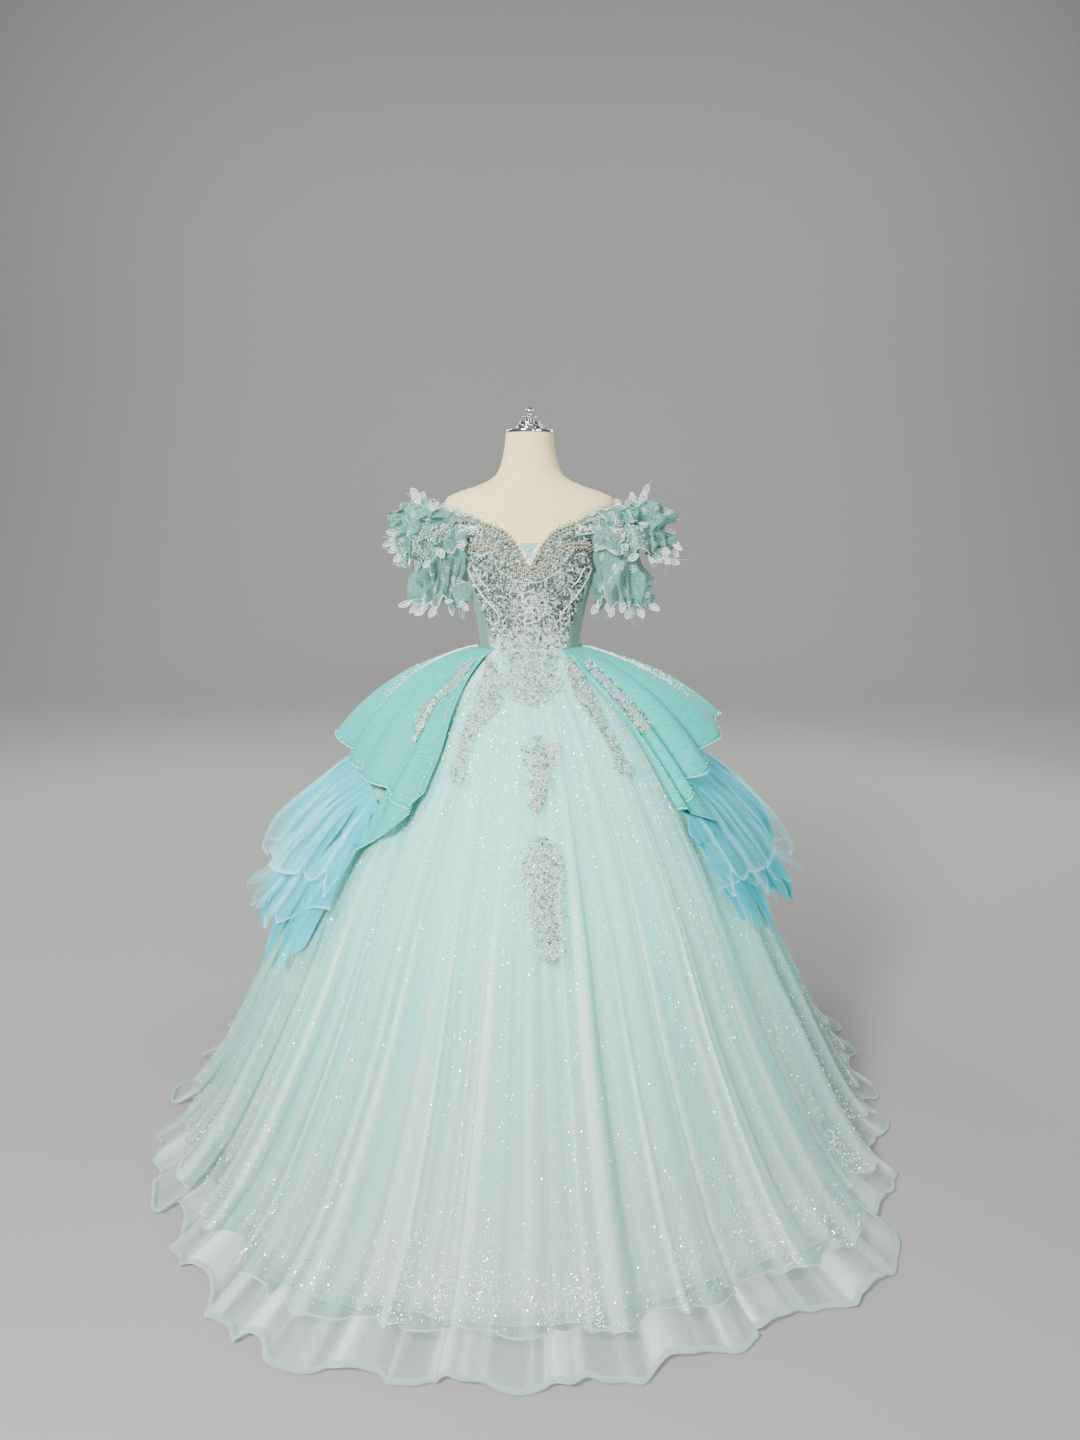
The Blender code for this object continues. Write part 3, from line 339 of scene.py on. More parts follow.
MOTIFS = {
    "waist_lace": rows_of(
        MotifRow, (1.01, 0.006, 0.012), (1.02, 0.006, 0.042), (1.03, 0.008, 0.052),
        (1.042, 0.008, 0.064), (1.056, 0.004, 0.068), (1.07, 0.002, 0.056), (1.09, 0.0, 0.064),
        (1.1105, 0.0, 0.072)),
    "lace_motif_upper": rows_of(
        MotifRow, (0.814, 0.013, 0.003), (0.832, 0.016, 0.014), (0.85, 0.02, 0.016),
        (0.87, 0.023, 0.024), (0.892, 0.024, 0.02), (0.905, 0.024, 0.04), (0.918, 0.026, 0.028),
        (0.932, 0.027, 0.044), (0.944, 0.022, 0.02), (0.955, 0.019, 0.006)),
    "lace_motif_lower": rows_of(
        MotifRow, (0.563, 0.04, 0.01), (0.577, 0.041, 0.03), (0.594, 0.04, 0.03),
        (0.61, 0.038, 0.026), (0.64, 0.036, 0.036), (0.664, 0.032, 0.034), (0.68, 0.031, 0.038),
        (0.705, 0.03, 0.047), (0.738, 0.029, 0.04), (0.764, 0.026, 0.026), (0.776, 0.024, 0.008)),
    "lance_inner_right": rows_of(
        MotifRow, (0.864, -0.152, 0.008), (0.88, -0.15, 0.019), (0.898, -0.148, 0.011),
        (0.931, -0.139, 0.013), (0.97, -0.122, 0.02), (1.014, -0.09, 0.032), (1.058, -0.086, 0.02),
        (1.1, -0.092, 0.007)),
    "lance_inner_left": rows_of(
        MotifRow, (0.872, 0.209, 0.007), (0.886, 0.203, 0.019), (0.906, 0.192, 0.01),
        (0.937, 0.176, 0.012), (0.975, 0.152, 0.014), (1.012, 0.128, 0.022), (1.058, 0.104, 0.02),
        (1.098, 0.086, 0.008)),
    "lance_outer_right": rows_of(
        MotifRow, (0.93, -0.252, 0.006), (0.958, -0.24, 0.015), (0.985, -0.226, 0.022),
        (1.012, -0.205, 0.017), (1.046, -0.166, 0.013), (1.088, -0.128, 0.006)),
    "lance_outer_left": rows_of(
        MotifRow, (0.944, 0.248, 0.008), (0.966, 0.24, 0.02), (0.99, 0.222, 0.018),
        (1.02, 0.192, 0.016), (1.052, 0.16, 0.013), (1.086, 0.13, 0.006)),
}


# ------------------------------------------------------------------------------ maths
class Curve:
    """A smooth curve through stations, which never overshoots them."""

    def __init__(self, stations: Sequence[float], values: Sequence[float]) -> None:
        """Keep the stations and work out the slope at each.

        Args:
            stations: places, which rise.
            values: the value at each.
        """
        self.x, self.y = np.asarray(stations, float), np.asarray(values, float)
        rise = np.diff(self.y) / np.diff(self.x)
        self.slope = np.concatenate(([rise[0]], np.zeros(len(rise) - 1), [rise[-1]]))
        both = rise[:-1] * rise[1:]
        keep = both > 0.0
        middle = self.slope[1:-1]
        middle[keep] = 2.0 * both[keep] / (rise[:-1] + rise[1:])[keep]

    def __call__(self, at: Array) -> Array:
        """The curve's value at each place.

        Args:
            at: places.

        Returns:
            The values.
        """
        at = np.clip(at, self.x[0], self.x[-1])
        i = np.clip(np.searchsorted(self.x, at) - 1, 0, len(self.x) - 2)
        span = self.x[i + 1] - self.x[i]
        t = (at - self.x[i]) / span
        a, b = self.y[i], self.y[i + 1]
        ta, tb = self.slope[i] * span, self.slope[i + 1] * span
        return a + t * (ta + t * (3 * (b - a) - 2 * ta - tb + t * (2 * (a - b) + ta + tb)))


def curves(rows: Sequence, stations: Sequence[float] | None = None) -> SimpleNamespace:
    """A smooth curve for each column of a table, over its first column or over stations.

    Args:
        rows: the table.
        stations: places of its rows, instead of the first column.

    Returns:
        The curves, by their columns' names.
    """
    columns = {item.name: [getattr(row, item.name) for row in rows] for item in fields(rows[0])}
    if stations is None:
        stations = next(iter(columns.values()))
    return SimpleNamespace(**{name: Curve(stations, column) for name, column in columns.items()})


def ease(t: Array) -> Array:
    """A soft step from 0 to 1."""
    t = np.clip(t, 0.0, 1.0)
    return t * t * (3.0 - 2.0 * t)


def bell(at: Array, centre: float, width: float) -> Array:
    """A soft hump of height 1."""
    return np.exp(-((at - centre) / width) ** 2)


def place(turn: Array, radius: Array, height: Array) -> Array:
    """Points at turns, radii and heights."""
    angle = np.radians(turn)
    return np.stack(np.broadcast_arrays(
        radius * np.sin(angle), -radius * np.cos(angle), height), axis=-1)


def section(turn: Array, side: Array, front: Array, back: Array, power: float | Array = 2.0) -> Array:
    """Radius of a rounded section with unlike front and back depths.

    Args:
        turn: turns round it.
        side: its half width.
        front: its depth in front.
        back: its depth behind.
        power: 2 for an ellipse, more for a squarer shape.

    Returns:
        The radii.
    """
    across = np.abs(np.sin(np.radians(turn))) / side
    lengthways = np.cos(np.radians(turn))
    deep = np.abs(lengthways) / np.where(lengthways > 0.0, front, back)
    return (across ** power + deep ** power) ** (-1.0 / power)


def together(a: Array, b: Array) -> Sequence[Array]:
    """Two arrays brought to one shape."""
    return np.broadcast_arrays(np.asarray(a, float), np.asarray(b, float))


def unit(vectors: Array) -> Array:
    """Vectors brought to length 1."""
    return vectors / np.maximum(np.linalg.norm(vectors, axis=-1, keepdims=True), TINY)


def gaps(points: Array, axis: int = 0) -> Array:
    """Distances between neighbouring points along an axis."""
    return np.linalg.norm(np.diff(points, axis=axis), axis=-1)


def travelled(distances: Array) -> Array:
    """How far each point lies along, from the distances between neighbours."""
    return np.concatenate(([0.0], np.cumsum(distances)))


def ripple(at: Array, seed: int, slowest: int, fastest: int) -> Array:
    """Uneven waves about 0 that repeat every 360 degrees, from a few cycles to many.

    Args:
        at: places, in degrees.
        seed: for the waves' sizes and starts.
        slowest: the fewest cycles in 360 degrees.
        fastest: the most.

    Returns:
        The waves' heights.
    """
    random = np.random.default_rng(seed)
    cycles = range(slowest, fastest + 1)
    total = np.zeros_like(np.asarray(at, float))
    for cycle in cycles:
        total += random.uniform(0.4, 1.0) * np.sin(
            cycle * np.radians(at) + random.uniform(0.0, 2.0 * math.pi))
    return total / math.sqrt(0.35 * len(cycles))


def patchy(a: Array, b: Array, seed: int) -> Array:
    """Uneven smooth patches from 0 to 1, about one unit across in both directions.

    Args:
        a: places in one direction.
        b: places in the other.
        seed: for the patches.

    Returns:
        A value at each place.
    """
    size = 64
    lattice = np.random.default_rng(seed).random((size, size))
    a, b = together(a, b)
    i, j = np.floor(a).astype(int), np.floor(b).astype(int)
    s, t = ease(a - i), ease(b - j)
    left, right, up, down = i % size, (i + 1) % size, j % size, (j + 1) % size
    low = lattice[left, up] * (1 - s) + lattice[right, up] * s
    high = lattice[left, down] * (1 - s) + lattice[right, down] * s
    return low * (1 - t) + high * t


def lumpy(a: Array, b: Array, seed: int) -> Array:
    """Uneven smooth patches from -1 to 1."""
    return 2.0 * patchy(a, b, seed) - 1.0


def normals(surface: Surface, u: Array, v: Array, du: float, dv: float) -> Array:
    """Outward unit normals of a surface whose u runs round the gown and whose v runs down.

    Args:
        surface: the surface.
        u: places round it.
        v: places down it.
        du: how far the slope is taken round it.
        dv: how far down it.

    Returns:
        The normals.
    """
    across = surface(u + du, v) - surface(u - du, v)
    down = surface(u, v + dv) - surface(u, v - dv)
    return unit(np.cross(down, across))


BODY_CURVES = curves(BODY)
NECKLINE_CURVE = curves(NECKLINE).height
LOWER_PEARLS_CURVE = curves(LOWER_PEARLS).height
SLEEVE_TOP_CURVE = curves(SLEEVE_TOP).height
# A row of pearls: its line and how far it lies below that.
PEARL_ROWS = ((NECKLINE_CURVE, 0.0030), (NECKLINE_CURVE, 0.0112), (LOWER_PEARLS_CURVE, 0.0010),
              (LOWER_PEARLS_CURVE, 0.0090))
SKIRT_CURVES = curves(SKIRT)
HEM_CURVE = curves(HEM).reach
SKIRT_STEP = Curve([row.height for row in SKIRT[::-1]], [row.step for row in SKIRT[::-1]])


def body_radius(turn: Array, height: Array) -> Array:
    """Radius of the dress form."""
    row = BODY_CURVES
    return section(turn, row.side(height), row.front(height), row.back(height), row.power(height))


def bodice_radius(turn: Array, height: Array) -> Array:
    """Radius of the bodice's outer face, with its two cups."""
    gap = 0.0005 + 0.0022 * ease((height - WAIST) / 0.050)
    cup = bell(np.abs(turn), 33.0, 15.0) * bell(height, 1.312, 0.034)
    return body_radius(turn, height) + gap + 0.0015 + 0.009 * cup


def bodice_point(turn: Array, height: Array) -> Array:
    """The bodice's outer face at turns and heights."""
    return place(turn, bodice_radius(turn, height), height)


def wrapped(turn: Array) -> Array:
    """Turns brought between -180 and 180."""
    return (np.asarray(turn, float) + 180.0) % 360.0 - 180.0


def fold_phase(turn: Array) -> Array:
    """Where each place lies on the overskirt's main folds."""
    angle = np.radians(turn)
    return MAIN_FOLDS * angle + 0.9 * np.sin(3.0 * angle + 0.5)


def fold_strength(turn: Array) -> Array:
    """How deep the main folds are round the gown."""
    angle = np.radians(turn)
    uneven = 1.0 + 0.30 * np.sin(5 * angle + 0.8) + 0.20 * np.sin(11 * angle + 2.1)
    return uneven * (1.0 - 0.60 * np.exp(-(wrapped(turn) / 16.0) ** 2))


def skirt_base(turn: Array, step: Array) -> Array:
    """Radius of the overskirt without its folds.

    Args:
        turn: turns round the gown.
        step: steps down the skirt table.

    Returns:
        The radii.
    """
    row = SKIRT_CURVES
    plain = section(turn, row.side(step), row.front(step), row.back(step))
    edge = SKIRT[-1]
    flat = section(turn, edge.side, edge.front, edge.back)
    return plain * (1.0 + row.lobe(step) * (HEM_CURVE(wrapped(turn)) / flat - 1.0))


def skirt_reach(turn: Array, height: Array) -> Array:
    """How far the overskirt's crests come out at a turn and height."""
    step = SKIRT_STEP(height)
    return skirt_base(turn, step) + SKIRT_CURVES.fold(step) * fold_strength(turn)


def standing(turn: Array, step: Array) -> tuple[Array, Array]:
    """How far the tall pleats stand out and how far they lean sideways, in degrees.

    Args:
        turn: turns round the gown.
        step: steps down the skirt table.

    Returns:
        Both, at each place.
    """
    out, lean = np.zeros_like(turn), np.zeros_like(turn)
    for pleat in PLEATS:
        shape = bell(wrapped(turn - pleat.turn), 0.0, pleat.width)
        shape = shape * ease((step - pleat.start) / 3.5)
        out += pleat.height * shape
        lean += pleat.lean * pleat.width * shape
    return out, lean


def skirt_point(turn: Array, step: Array, layer: float = 0.0) -> Array:
    """The overskirt's tulle, with its main folds, tall pleats and fine gathers.

    Args:
        turn: turns round the gown.
        step: steps down the skirt table.
        layer: 0 for the tulle itself, 1 for the loose layer over it.

    Returns:
        The points.
    """
    turn, step = together(turn, step)
    phase = fold_phase(turn) + layer * (0.7 + 0.5 * ripple(turn, 14, 3, 9))
    fold = SKIRT_CURVES.fold(step) * fold_strength(turn)
    fold = fold * (1.0 + 0.40 * ripple(turn, 3, 4, 13) * ease(step / 5.0))
    fold = fold * (1.0 - 0.35 * bell(wrapped(turn), 0.0, 40.0))
    wave = np.cos(phase)
    grown = ease(step / 5.0)
    gathers = (0.0034 * ripple(turn, 4 + int(layer), 56, 84)
               + 0.0016 * ripple(turn, 9 + int(layer), 100, 150))
    out, tilt = standing(turn + layer * 1.5, step)
    radius = skirt_base(turn, step) + fold * wave + grown * gathers * (0.5 + 0.5 * grown) + out
    free = np.maximum(ease((54.0 - np.abs(wrapped(turn))) / 10.0), ease((step - 4.6) / 0.8))
    loose = ease(step / 4.5) * free * (0.004 + 0.004 * ripple(turn, 17, 6, 20))
    radius = radius + layer * (0.0012 + loose)
    lean = fold * (0.55 * np.sin(2.0 * phase) + 0.5 * np.sin(phase + 1.2)) * ease(step / 4.0)
    sideways = np.degrees(lean / np.maximum(radius, 0.08)) + tilt
    rise = 0.009 * np.maximum(step - HEM_SEAM, 0.0) * 0.5 * (1.0 - wave)
    return place(turn + sideways, radius, SKIRT_CURVES.height(step) + rise)


def underskirt_point(turn: Array, step: Array) -> Array:
    """The glitter underskirt, inside the tulle.

    Args:
        turn: turns round the gown.
        step: steps down the skirt table.

    Returns:
        The points.
    """
    turn, step = together(turn, step)
    row = SKIRT_CURVES
    depth = np.minimum(0.006, 0.6 * row.fold(step))
    wave = depth * (np.cos(np.radians(10.0 * turn)) - 1.0)
    soft = row.fold(step) * (0.22 * ripple(turn, 21, 24, 38) + 0.10 * ripple(turn, 22, 60, 90))
    inside = 0.3 * row.fold(step) + 0.022 * ease((step - 2.0) / 4.0) * np.sin(np.radians(turn)) ** 2
    radius = skirt_base(turn, step) - row.lining(step) + wave + soft - inside
    return place(turn, radius, row.height(step))


def crest_point(turn: Array, height: Array) -> Array:
    """The overskirt's crests at turns and heights."""
    return place(turn, skirt_reach(turn, height), height)


def flowing(points: Sequence, per: int = 8) -> Array:
    """A smooth path through points.

    Args:
        points: the points, in order.
        per: how many steps between two of them.

    Returns:
        The path.
    """
    p = np.asarray(points, float)
    p = np.concatenate((2.0 * p[:1] - p[1:2], p, 2.0 * p[-1:] - p[-2:-1]))
    t = np.linspace(0.0, 1.0, per, endpoint=False)[:, None]
    parts = [0.5 * (2 * b + (c - a) * t + (2 * a - 5 * b + 4 * c - d) * t ** 2
                    + (3 * b - a - 3 * c + d) * t ** 3)
             for a, b, c, d in zip(p, p[1:], p[2:], p[3:])]
    return np.concatenate(parts + [p[-2:-1]])


def projected(surface: Surface, u: tuple[float, float], v: tuple[float, float],
              targets: Array, real: Surface | None = None) -> tuple[Array, Array]:
    """Find a surface's points that stand at targets (x, z) seen from the front.

    Args:
        surface: the surface that is searched.
        u: the range searched in its first direction.
        v: the range searched in its second.
        targets: wanted x and z, one row each.
        real: the surface with its creases, on which the found places lie.

    Returns:
        The points and the surface's outward normals there.
    """
    samples_each_way, rounds = 60, 4
    us, vs = np.meshgrid(np.linspace(*u, samples_each_way), np.linspace(*v, samples_each_way),
                         indexing="ij")
    samples = surface(us, vs)[..., [0, 2]].reshape(-1, 2)
    nearest = np.array([np.argmin(((samples - t) ** 2).sum(axis=1)) for t in targets])
    a, b = us.ravel()[nearest], vs.ravel()[nearest]
    da, db = (u[1] - u[0]) * 0.002, (v[1] - v[0]) * 0.002
    for _ in range(rounds):
        miss = targets - surface(a, b)[:, [0, 2]]
        ja = (surface(a + da, b) - surface(a - da, b))[:, [0, 2]] / (2.0 * da)
        jb = (surface(a, b + db) - surface(a, b - db))[:, [0, 2]] / (2.0 * db)
        size = ja[:, 0] * jb[:, 1] - ja[:, 1] * jb[:, 0]
        size = np.where(np.abs(size) < 1e-9, 1e9, size)
        a = np.clip(a + (miss[:, 0] * jb[:, 1] - miss[:, 1] * jb[:, 0]) / size, *sorted(u))
        b = np.clip(b + (ja[:, 0] * miss[:, 1] - ja[:, 1] * miss[:, 0]) / size, *sorted(v))
    surface = real or surface
    points = surface(a, b)
    out = unit(np.cross(surface(a, b + db) - points, surface(a + da, b) - points))
    return points, out * np.where(out[:, 1:2] > 0.0, -1.0, 1.0)


# ------------------------------------------------------------------------------ finishes
def linear(code: str) -> tuple[float, float, float, float]:
    """A linear colour from an sRGB hex code."""
    parts = [int(code[i:i + 2], 16) / 255.0 for i in (1, 3, 5)]
    return tuple(p / 12.92 if p <= 0.04045 else ((p + 0.055) / 1.055) ** 2.4
                 for p in parts) + (1.0,)


def add_node(tree: bpy.types.NodeTree, kind: str, settings: dict | None = None,
             **links: object) -> bpy.types.Node:
    """Add a node with its settings and its input values or links.

    Args:
        tree: the material's node tree.
        kind: the node's type name.
        settings: attributes of the node to set.
        links: inputs by name, with underscores for spaces, each a value or an output socket.

    Returns:
        The new node.
    """
    node = tree.nodes.new(kind)
    for name, value in (settings or {}).items():
        setattr(node, name, value)
    for name, value in links.items():
        key = int(name[1:]) if name[0] == "_" else name.replace("_", " ")
        socket = node.inputs[key]
        if isinstance(value, bpy.types.NodeSocket):
            tree.links.new(value, socket)
        else:
            socket.default_value = value
    return node


class Space(Enum):
    """Which coordinates a pattern follows."""

    CLOTH = "UV"
    OBJECT = "Object"


@dataclass(frozen=True)
class Finish:
    """A finish: two colours mixed by a fine pattern, its gloss and its relief.

    pattern_mm is the pattern's real spacing; stretch draws it out along the cloth. A sheer net
    has an alpha, to which its "cover" attribute adds alpha_gain at most; that attribute also
    leans the colour towards the second one, which on the skirt and bustle nets paints shade and
    highlights. low is the colour low down, which changes to the upper one over the heights in
    low_span.
    """

    name: str
    slot: str
    colour: str
    second: str
    roughness: float
    pattern_mm: float = 8.0
    stretch: tuple[float, float, float] = (1.0, 1.0, 1.0)
    space: Space = Space.CLOTH
    metallic: float = 0.0
    alpha: float = 1.0
    alpha_gain: float = 0.0
    bump: float = 0.2
    bump_mm: float = 0.4
    sheen: float = 0.0
    coat: float = 0.0
    specular: float = 0.5
    contrast: tuple[float, float] = (0.35, 0.65)
    low: str = ""
    low_span: tuple[float, float] = (0.1, 0.7)

    def make(self) -> bpy.types.Material:
        """The finish's material, made once."""
        found = bpy.data.materials.get(self.name)
        if found is not None:
            return found
        made = bpy.data.materials.new(self.name)
        made.use_nodes = True
        tree = made.node_tree
        shader = tree.nodes["Principled BSDF"]
        for name, value in (("Metallic", self.metallic), ("Sheen Weight", self.sheen),
                            ("Coat Weight", self.coat), ("Specular IOR Level", self.specular)):
            shader.inputs[name].default_value = value
        where = add_node(tree, "ShaderNodeTexCoord").outputs[self.space.value]
        drawn = add_node(tree, "ShaderNodeMapping", Vector=where, Scale=self.stretch)
        spots = add_node(tree, "ShaderNodeTexNoise", Vector=drawn.outputs[0],
                         Scale=1000.0 / self.pattern_mm, Detail=4.0, Roughness=0.6)
        mask = add_node(tree, "ShaderNodeMapRange", Value=spots.outputs[0],
                        From_Min=self.contrast[0], From_Max=self.contrast[1])
        share = mask.outputs[0]
        # Where a net covers more, its colour leans to the second one: on the skirt and bustle nets
        # this paints shade and highlights along the folds.
        if self.alpha_gain:
            dense = add_node(tree, "ShaderNodeAttribute", {"attribute_name": "cover"})
            half = add_node(tree, "ShaderNodeMath", {"operation": "MULTIPLY"}, _0=share, _1=0.3)
            share = add_node(tree, "ShaderNodeMath", {"operation": "MULTIPLY_ADD"},
                             _0=dense.outputs["Fac"], _1=0.7, _2=half.outputs[0]).outputs[0]
        mixed = add_node(tree, "ShaderNodeMix", {"data_type": "RGBA"}, Factor=share,
                         _6=linear(self.colour), _7=linear(self.second))
        colour = mixed.outputs[2]
        if self.low:
            spot = add_node(tree, "ShaderNodeTexCoord").outputs["Object"]
            lift = add_node(tree, "ShaderNodeSeparateXYZ", Vector=spot)
            fall = add_node(tree, "ShaderNodeMapRange", Value=lift.outputs[2],
                            From_Min=self.low_span[0], From_Max=self.low_span[1])
            colour = add_node(tree, "ShaderNodeMix", {"data_type": "RGBA"}, Factor=fall.outputs[0],
                              _6=linear(self.low), _7=colour).outputs[2]
        tree.links.new(colour, shader.inputs["Base Color"])
        rough = add_node(tree, "ShaderNodeMapRange", Value=spots.outputs[0],
                         To_Min=self.roughness - 0.06, To_Max=self.roughness + 0.06)
        tree.links.new(rough.outputs[0], shader.inputs["Roughness"])
        if self.bump:
            grain = add_node(tree, "ShaderNodeTexNoise", Vector=drawn.outputs[0],
                             Scale=1000.0 / max(self.bump_mm, 0.8), Detail=2.0)
            relief = add_node(tree, "ShaderNodeBump", Height=grain.outputs[0],
                              Strength=self.bump, Distance=self.bump_mm / 1000.0)
            tree.links.new(relief.outputs[0], shader.inputs["Normal"])
        if self.alpha_gain:
            gain = add_node(tree, "ShaderNodeMath", {"operation": "MULTIPLY_ADD"},
                            _0=dense.outputs["Fac"], _1=self.alpha_gain, _2=self.alpha - 0.04)
            uneven = add_node(tree, "ShaderNodeMath",
                              {"operation": "MULTIPLY_ADD", "use_clamp": True},
                              _0=spots.outputs[0], _1=0.08, _2=gain.outputs[0])
            tree.links.new(uneven.outputs[0], shader.inputs["Alpha"])
        else:
            shader.inputs["Alpha"].default_value = self.alpha
        return made


def family(slot: str, **shared: object) -> Callable[..., Finish]:
    """A maker of finishes that share a slot and some settings.

    Args:
        slot: the family's material slot.
        shared: the settings that its finishes have unless they state their own.

    Returns:
        A function that makes a finish from its name, colours, roughness, pattern and settings.
    """
    def make(name: str, colour: str, second: str, roughness: float, pattern_mm: float,
             **own: object) -> Finish:
        """One finish of the family."""
        return Finish(name, slot, colour, second, roughness, pattern_mm, **{**shared, **own})
    return make


SATINS = family("bodice_satin", sheen=0.2)
BEADED = family("beaded_lace", space=Space.OBJECT, bump=0.0)
TULLES = family("skirt_tulle", stretch=(4.0, 0.5, 1.0), bump=0.12, bump_mm=1.0, sheen=0.15,
                specular=0.2)
BLUES = family("bustle_tulle", stretch=(5.0, 0.4, 1.0), bump=0.12, bump_mm=1.0, specular=0.15)
ORGANZAS = family("satin_organza", bump_mm=0.8, sheen=0.04)
LEAF_LACES = family("sleeve_lace", space=Space.OBJECT, bump=0.3, bump_mm=0.8)

# Cotton jersey pulled over a moulded form: matt, with a fine knit.
JERSEY = Finish("cotton_jersey", "form_jersey", "#e6d29f", "#dec794", 0.85, 3.0,
                space=Space.OBJECT, bump=0.15, bump_mm=0.5, sheen=0.1, specular=0.2)
# Nickel-plated zinc, polished: a clear mirror with faint swirls.
NICKEL = Finish("polished_nickel", "polished_cap", "#d8d9da", "#c9cbcd", 0.12, 6.0,
                space=Space.OBJECT, metallic=1.0, bump=0.0)
# Powder-coated steel: a fine orange peel.
POWDER = Finish("powder_coated_steel", "painted_stand", "#d7d3ca", "#cfcabf", 0.45, 2.0,
                space=Space.OBJECT, bump=0.1, bump_mm=0.8)
# Polyester satin, plain and under fine lace: a soft sheen, threads a third of a millimetre apart.
SATIN = SATINS("laced_satin", "#52776c", "#6e9184", 0.50, 5.0, bump=0.35, bump_mm=0.5,
               contrast=(0.42, 0.58))
LACED = SATINS("beaded_ground", "#485f56", "#6d877c", 0.55, 5.0, bump=0.45, bump_mm=0.8,
               contrast=(0.42, 0.58), low="#7fa397", low_span=(1.115, 1.190))
INSERT = SATINS("insert_satin", "#4f8f82", "#7cb4a7", 0.42, 4.0, bump=0.4, bump_mm=0.8,
                contrast=(0.44, 0.56))
# Glass beads with a silver lining: bright, sharp glints and dark sides.
SILVER_BEAD = BEADED("silver_lined_glass", "#a9bcb0", "#e6f2ea", 0.20, 6.0, metallic=0.45,
                     specular=0.9)
# Cut crystal drawn near-white and opaque: the white stands in for the glints of clear faceted glass, a
# painted glint, under a clear coat.
CRYSTAL_PAINTED_GLINT = BEADED("cut_crystal", "#ecfbf4", "#fbfffd", 0.12, 4.0, coat=1.0, specular=1.0)
DARK_BEAD = BEADED("gunmetal_glass", "#3e4b44", "#647169", 0.22, 6.0, metallic=0.6)
SEQUIN = BEADED("aqua_sequin", "#6fa093", "#abd2c5", 0.22, 5.0, metallic=0.45)
PEACH = BEADED("peach_sequin", "#d8c2b2", "#e8dccd", 0.22, 5.0, metallic=0.35)
# Cultured pearl: nacre over a bead, glossy and cream.
PEARL = Finish("cream_pearl", "pearl_trim", "#b6ae86", "#716c4f", 0.18, 9.0,
               space=Space.OBJECT, metallic=0.15, bump=0.0, coat=0.7, specular=0.8)
# Embroidery cord, twisted: white and matt in rayon, brighter with a silver thread.
CORD = BEADED("rayon_cord", "#fbfdfb", "#eef3ef", 0.60, 2.0, bump=0.2, bump_mm=0.6)
SILVER_CORD = BEADED("silver_cord", "#d6dacb", "#f0f1e6", 0.35, 2.0, metallic=0.5, bump=0.2,
                     bump_mm=0.6)
# Net under the beaded lace: polyester, nearly closed.
LACE_NET = Finish("lace_net", "beaded_lace", "#759f92", "#93bbaf", 0.60, 3.0,
                  alpha=0.72, alpha_gain=0.2, bump=0.4, bump_mm=0.8, sheen=0.2)
# Nylon tulle: a soft net of hexagons 1.5 mm across, too fine to show, so drawn as a sheer film
# whose cover grows on the sides of its folds. Where it covers more the tulle turns darker teal and
# the veil over it whitish: partly the net itself, partly painted shade and painted highlights
# along the pleats. Both turn darker and greyer towards the hem, which is painted shade.
TULLE = TULLES("nylon_tulle", "#8af4e6", "#46cfc0", 0.60, 14.0, alpha=0.38, alpha_gain=0.34,
               low="#8aaca6", low_span=(0.0, 0.60))
VEIL = TULLES("nylon_tulle_top", "#8eeee0", "#ecfdfa", 0.60, 14.0, alpha=0.11, alpha_gain=0.48,
              low="#b4cfc9", low_span=(0.0, 0.50))
HEM_TULLE = TULLES("hem_tulle", "#9cc6c0", "#e6f6f3", 0.60, 14.0, alpha=0.18, alpha_gain=0.42,
                   bump=0.1)
# Horsehair braid, woven of nylon thread: it stiffens the hem.
BRAID = Finish("woven_horsehair", "horsehair_braid", "#9dbcbb", "#8cabaa", 0.50, 3.0,
               stretch=(1.0, 6.0, 1.0), alpha=0.62, bump=0.4, bump_mm=1.0)
# Glitter tulle over lining: cream low down and aqua above. The cream is the lining's own
# colour, made somewhat darker as painted shade towards the hem.
GLITTER_CLOTH = Finish("glitter_lining", "glitter_underskirt", "#ccfdf2", "#bff6e8", 0.55, 22.0,
                       stretch=(5.0, 0.35, 1.0), alpha=0.55, alpha_gain=0.55, bump=0.25,
                       bump_mm=1.0, sheen=0.2, low="#dbd6c4", low_span=(0.30, 1.00))
FLAKE = Finish("glitter_flake", "glitter_underskirt", "#ffffff", "#f4fbf9", 0.37, 5.0,
               space=Space.OBJECT, metallic=0.6, bump=0.0, specular=1.0)
# Sparkle organza over satin: crisp, with brushed glitter along the cloth.
ORGANZA = ORGANZAS("sparkle_organza", "#0c9a92", "#32bdb4", 0.48, 9.0, stretch=(0.35, 6.0, 1.0),
                   bump=0.3, specular=0.14, contrast=(0.38, 0.62))
ORGANZA_EDGE = ORGANZAS("organza_hem", "#48bcb2", "#62cdc3", 0.45, 6.0, specular=0.25)
# The bustle's blue nylon tulle, and the sheerer layer over it. Where the blue tulle is denser it
# turns darker blue, partly crowded net and partly painted shade in the hollows of its gathers;
# where the veil is denser it turns whitish, partly denser net and partly painted highlights.
BLUE = BLUES("blue_tulle", "#02e0ec", "#009cae", 0.65, 16.0, alpha=0.50, alpha_gain=0.75)
BLUE_VEIL = BLUES("blue_tulle_veil", "#3ceaf2", "#c4f6fa", 0.65, 16.0, alpha=0.10,
                  alpha_gain=0.66, bump=0.1)
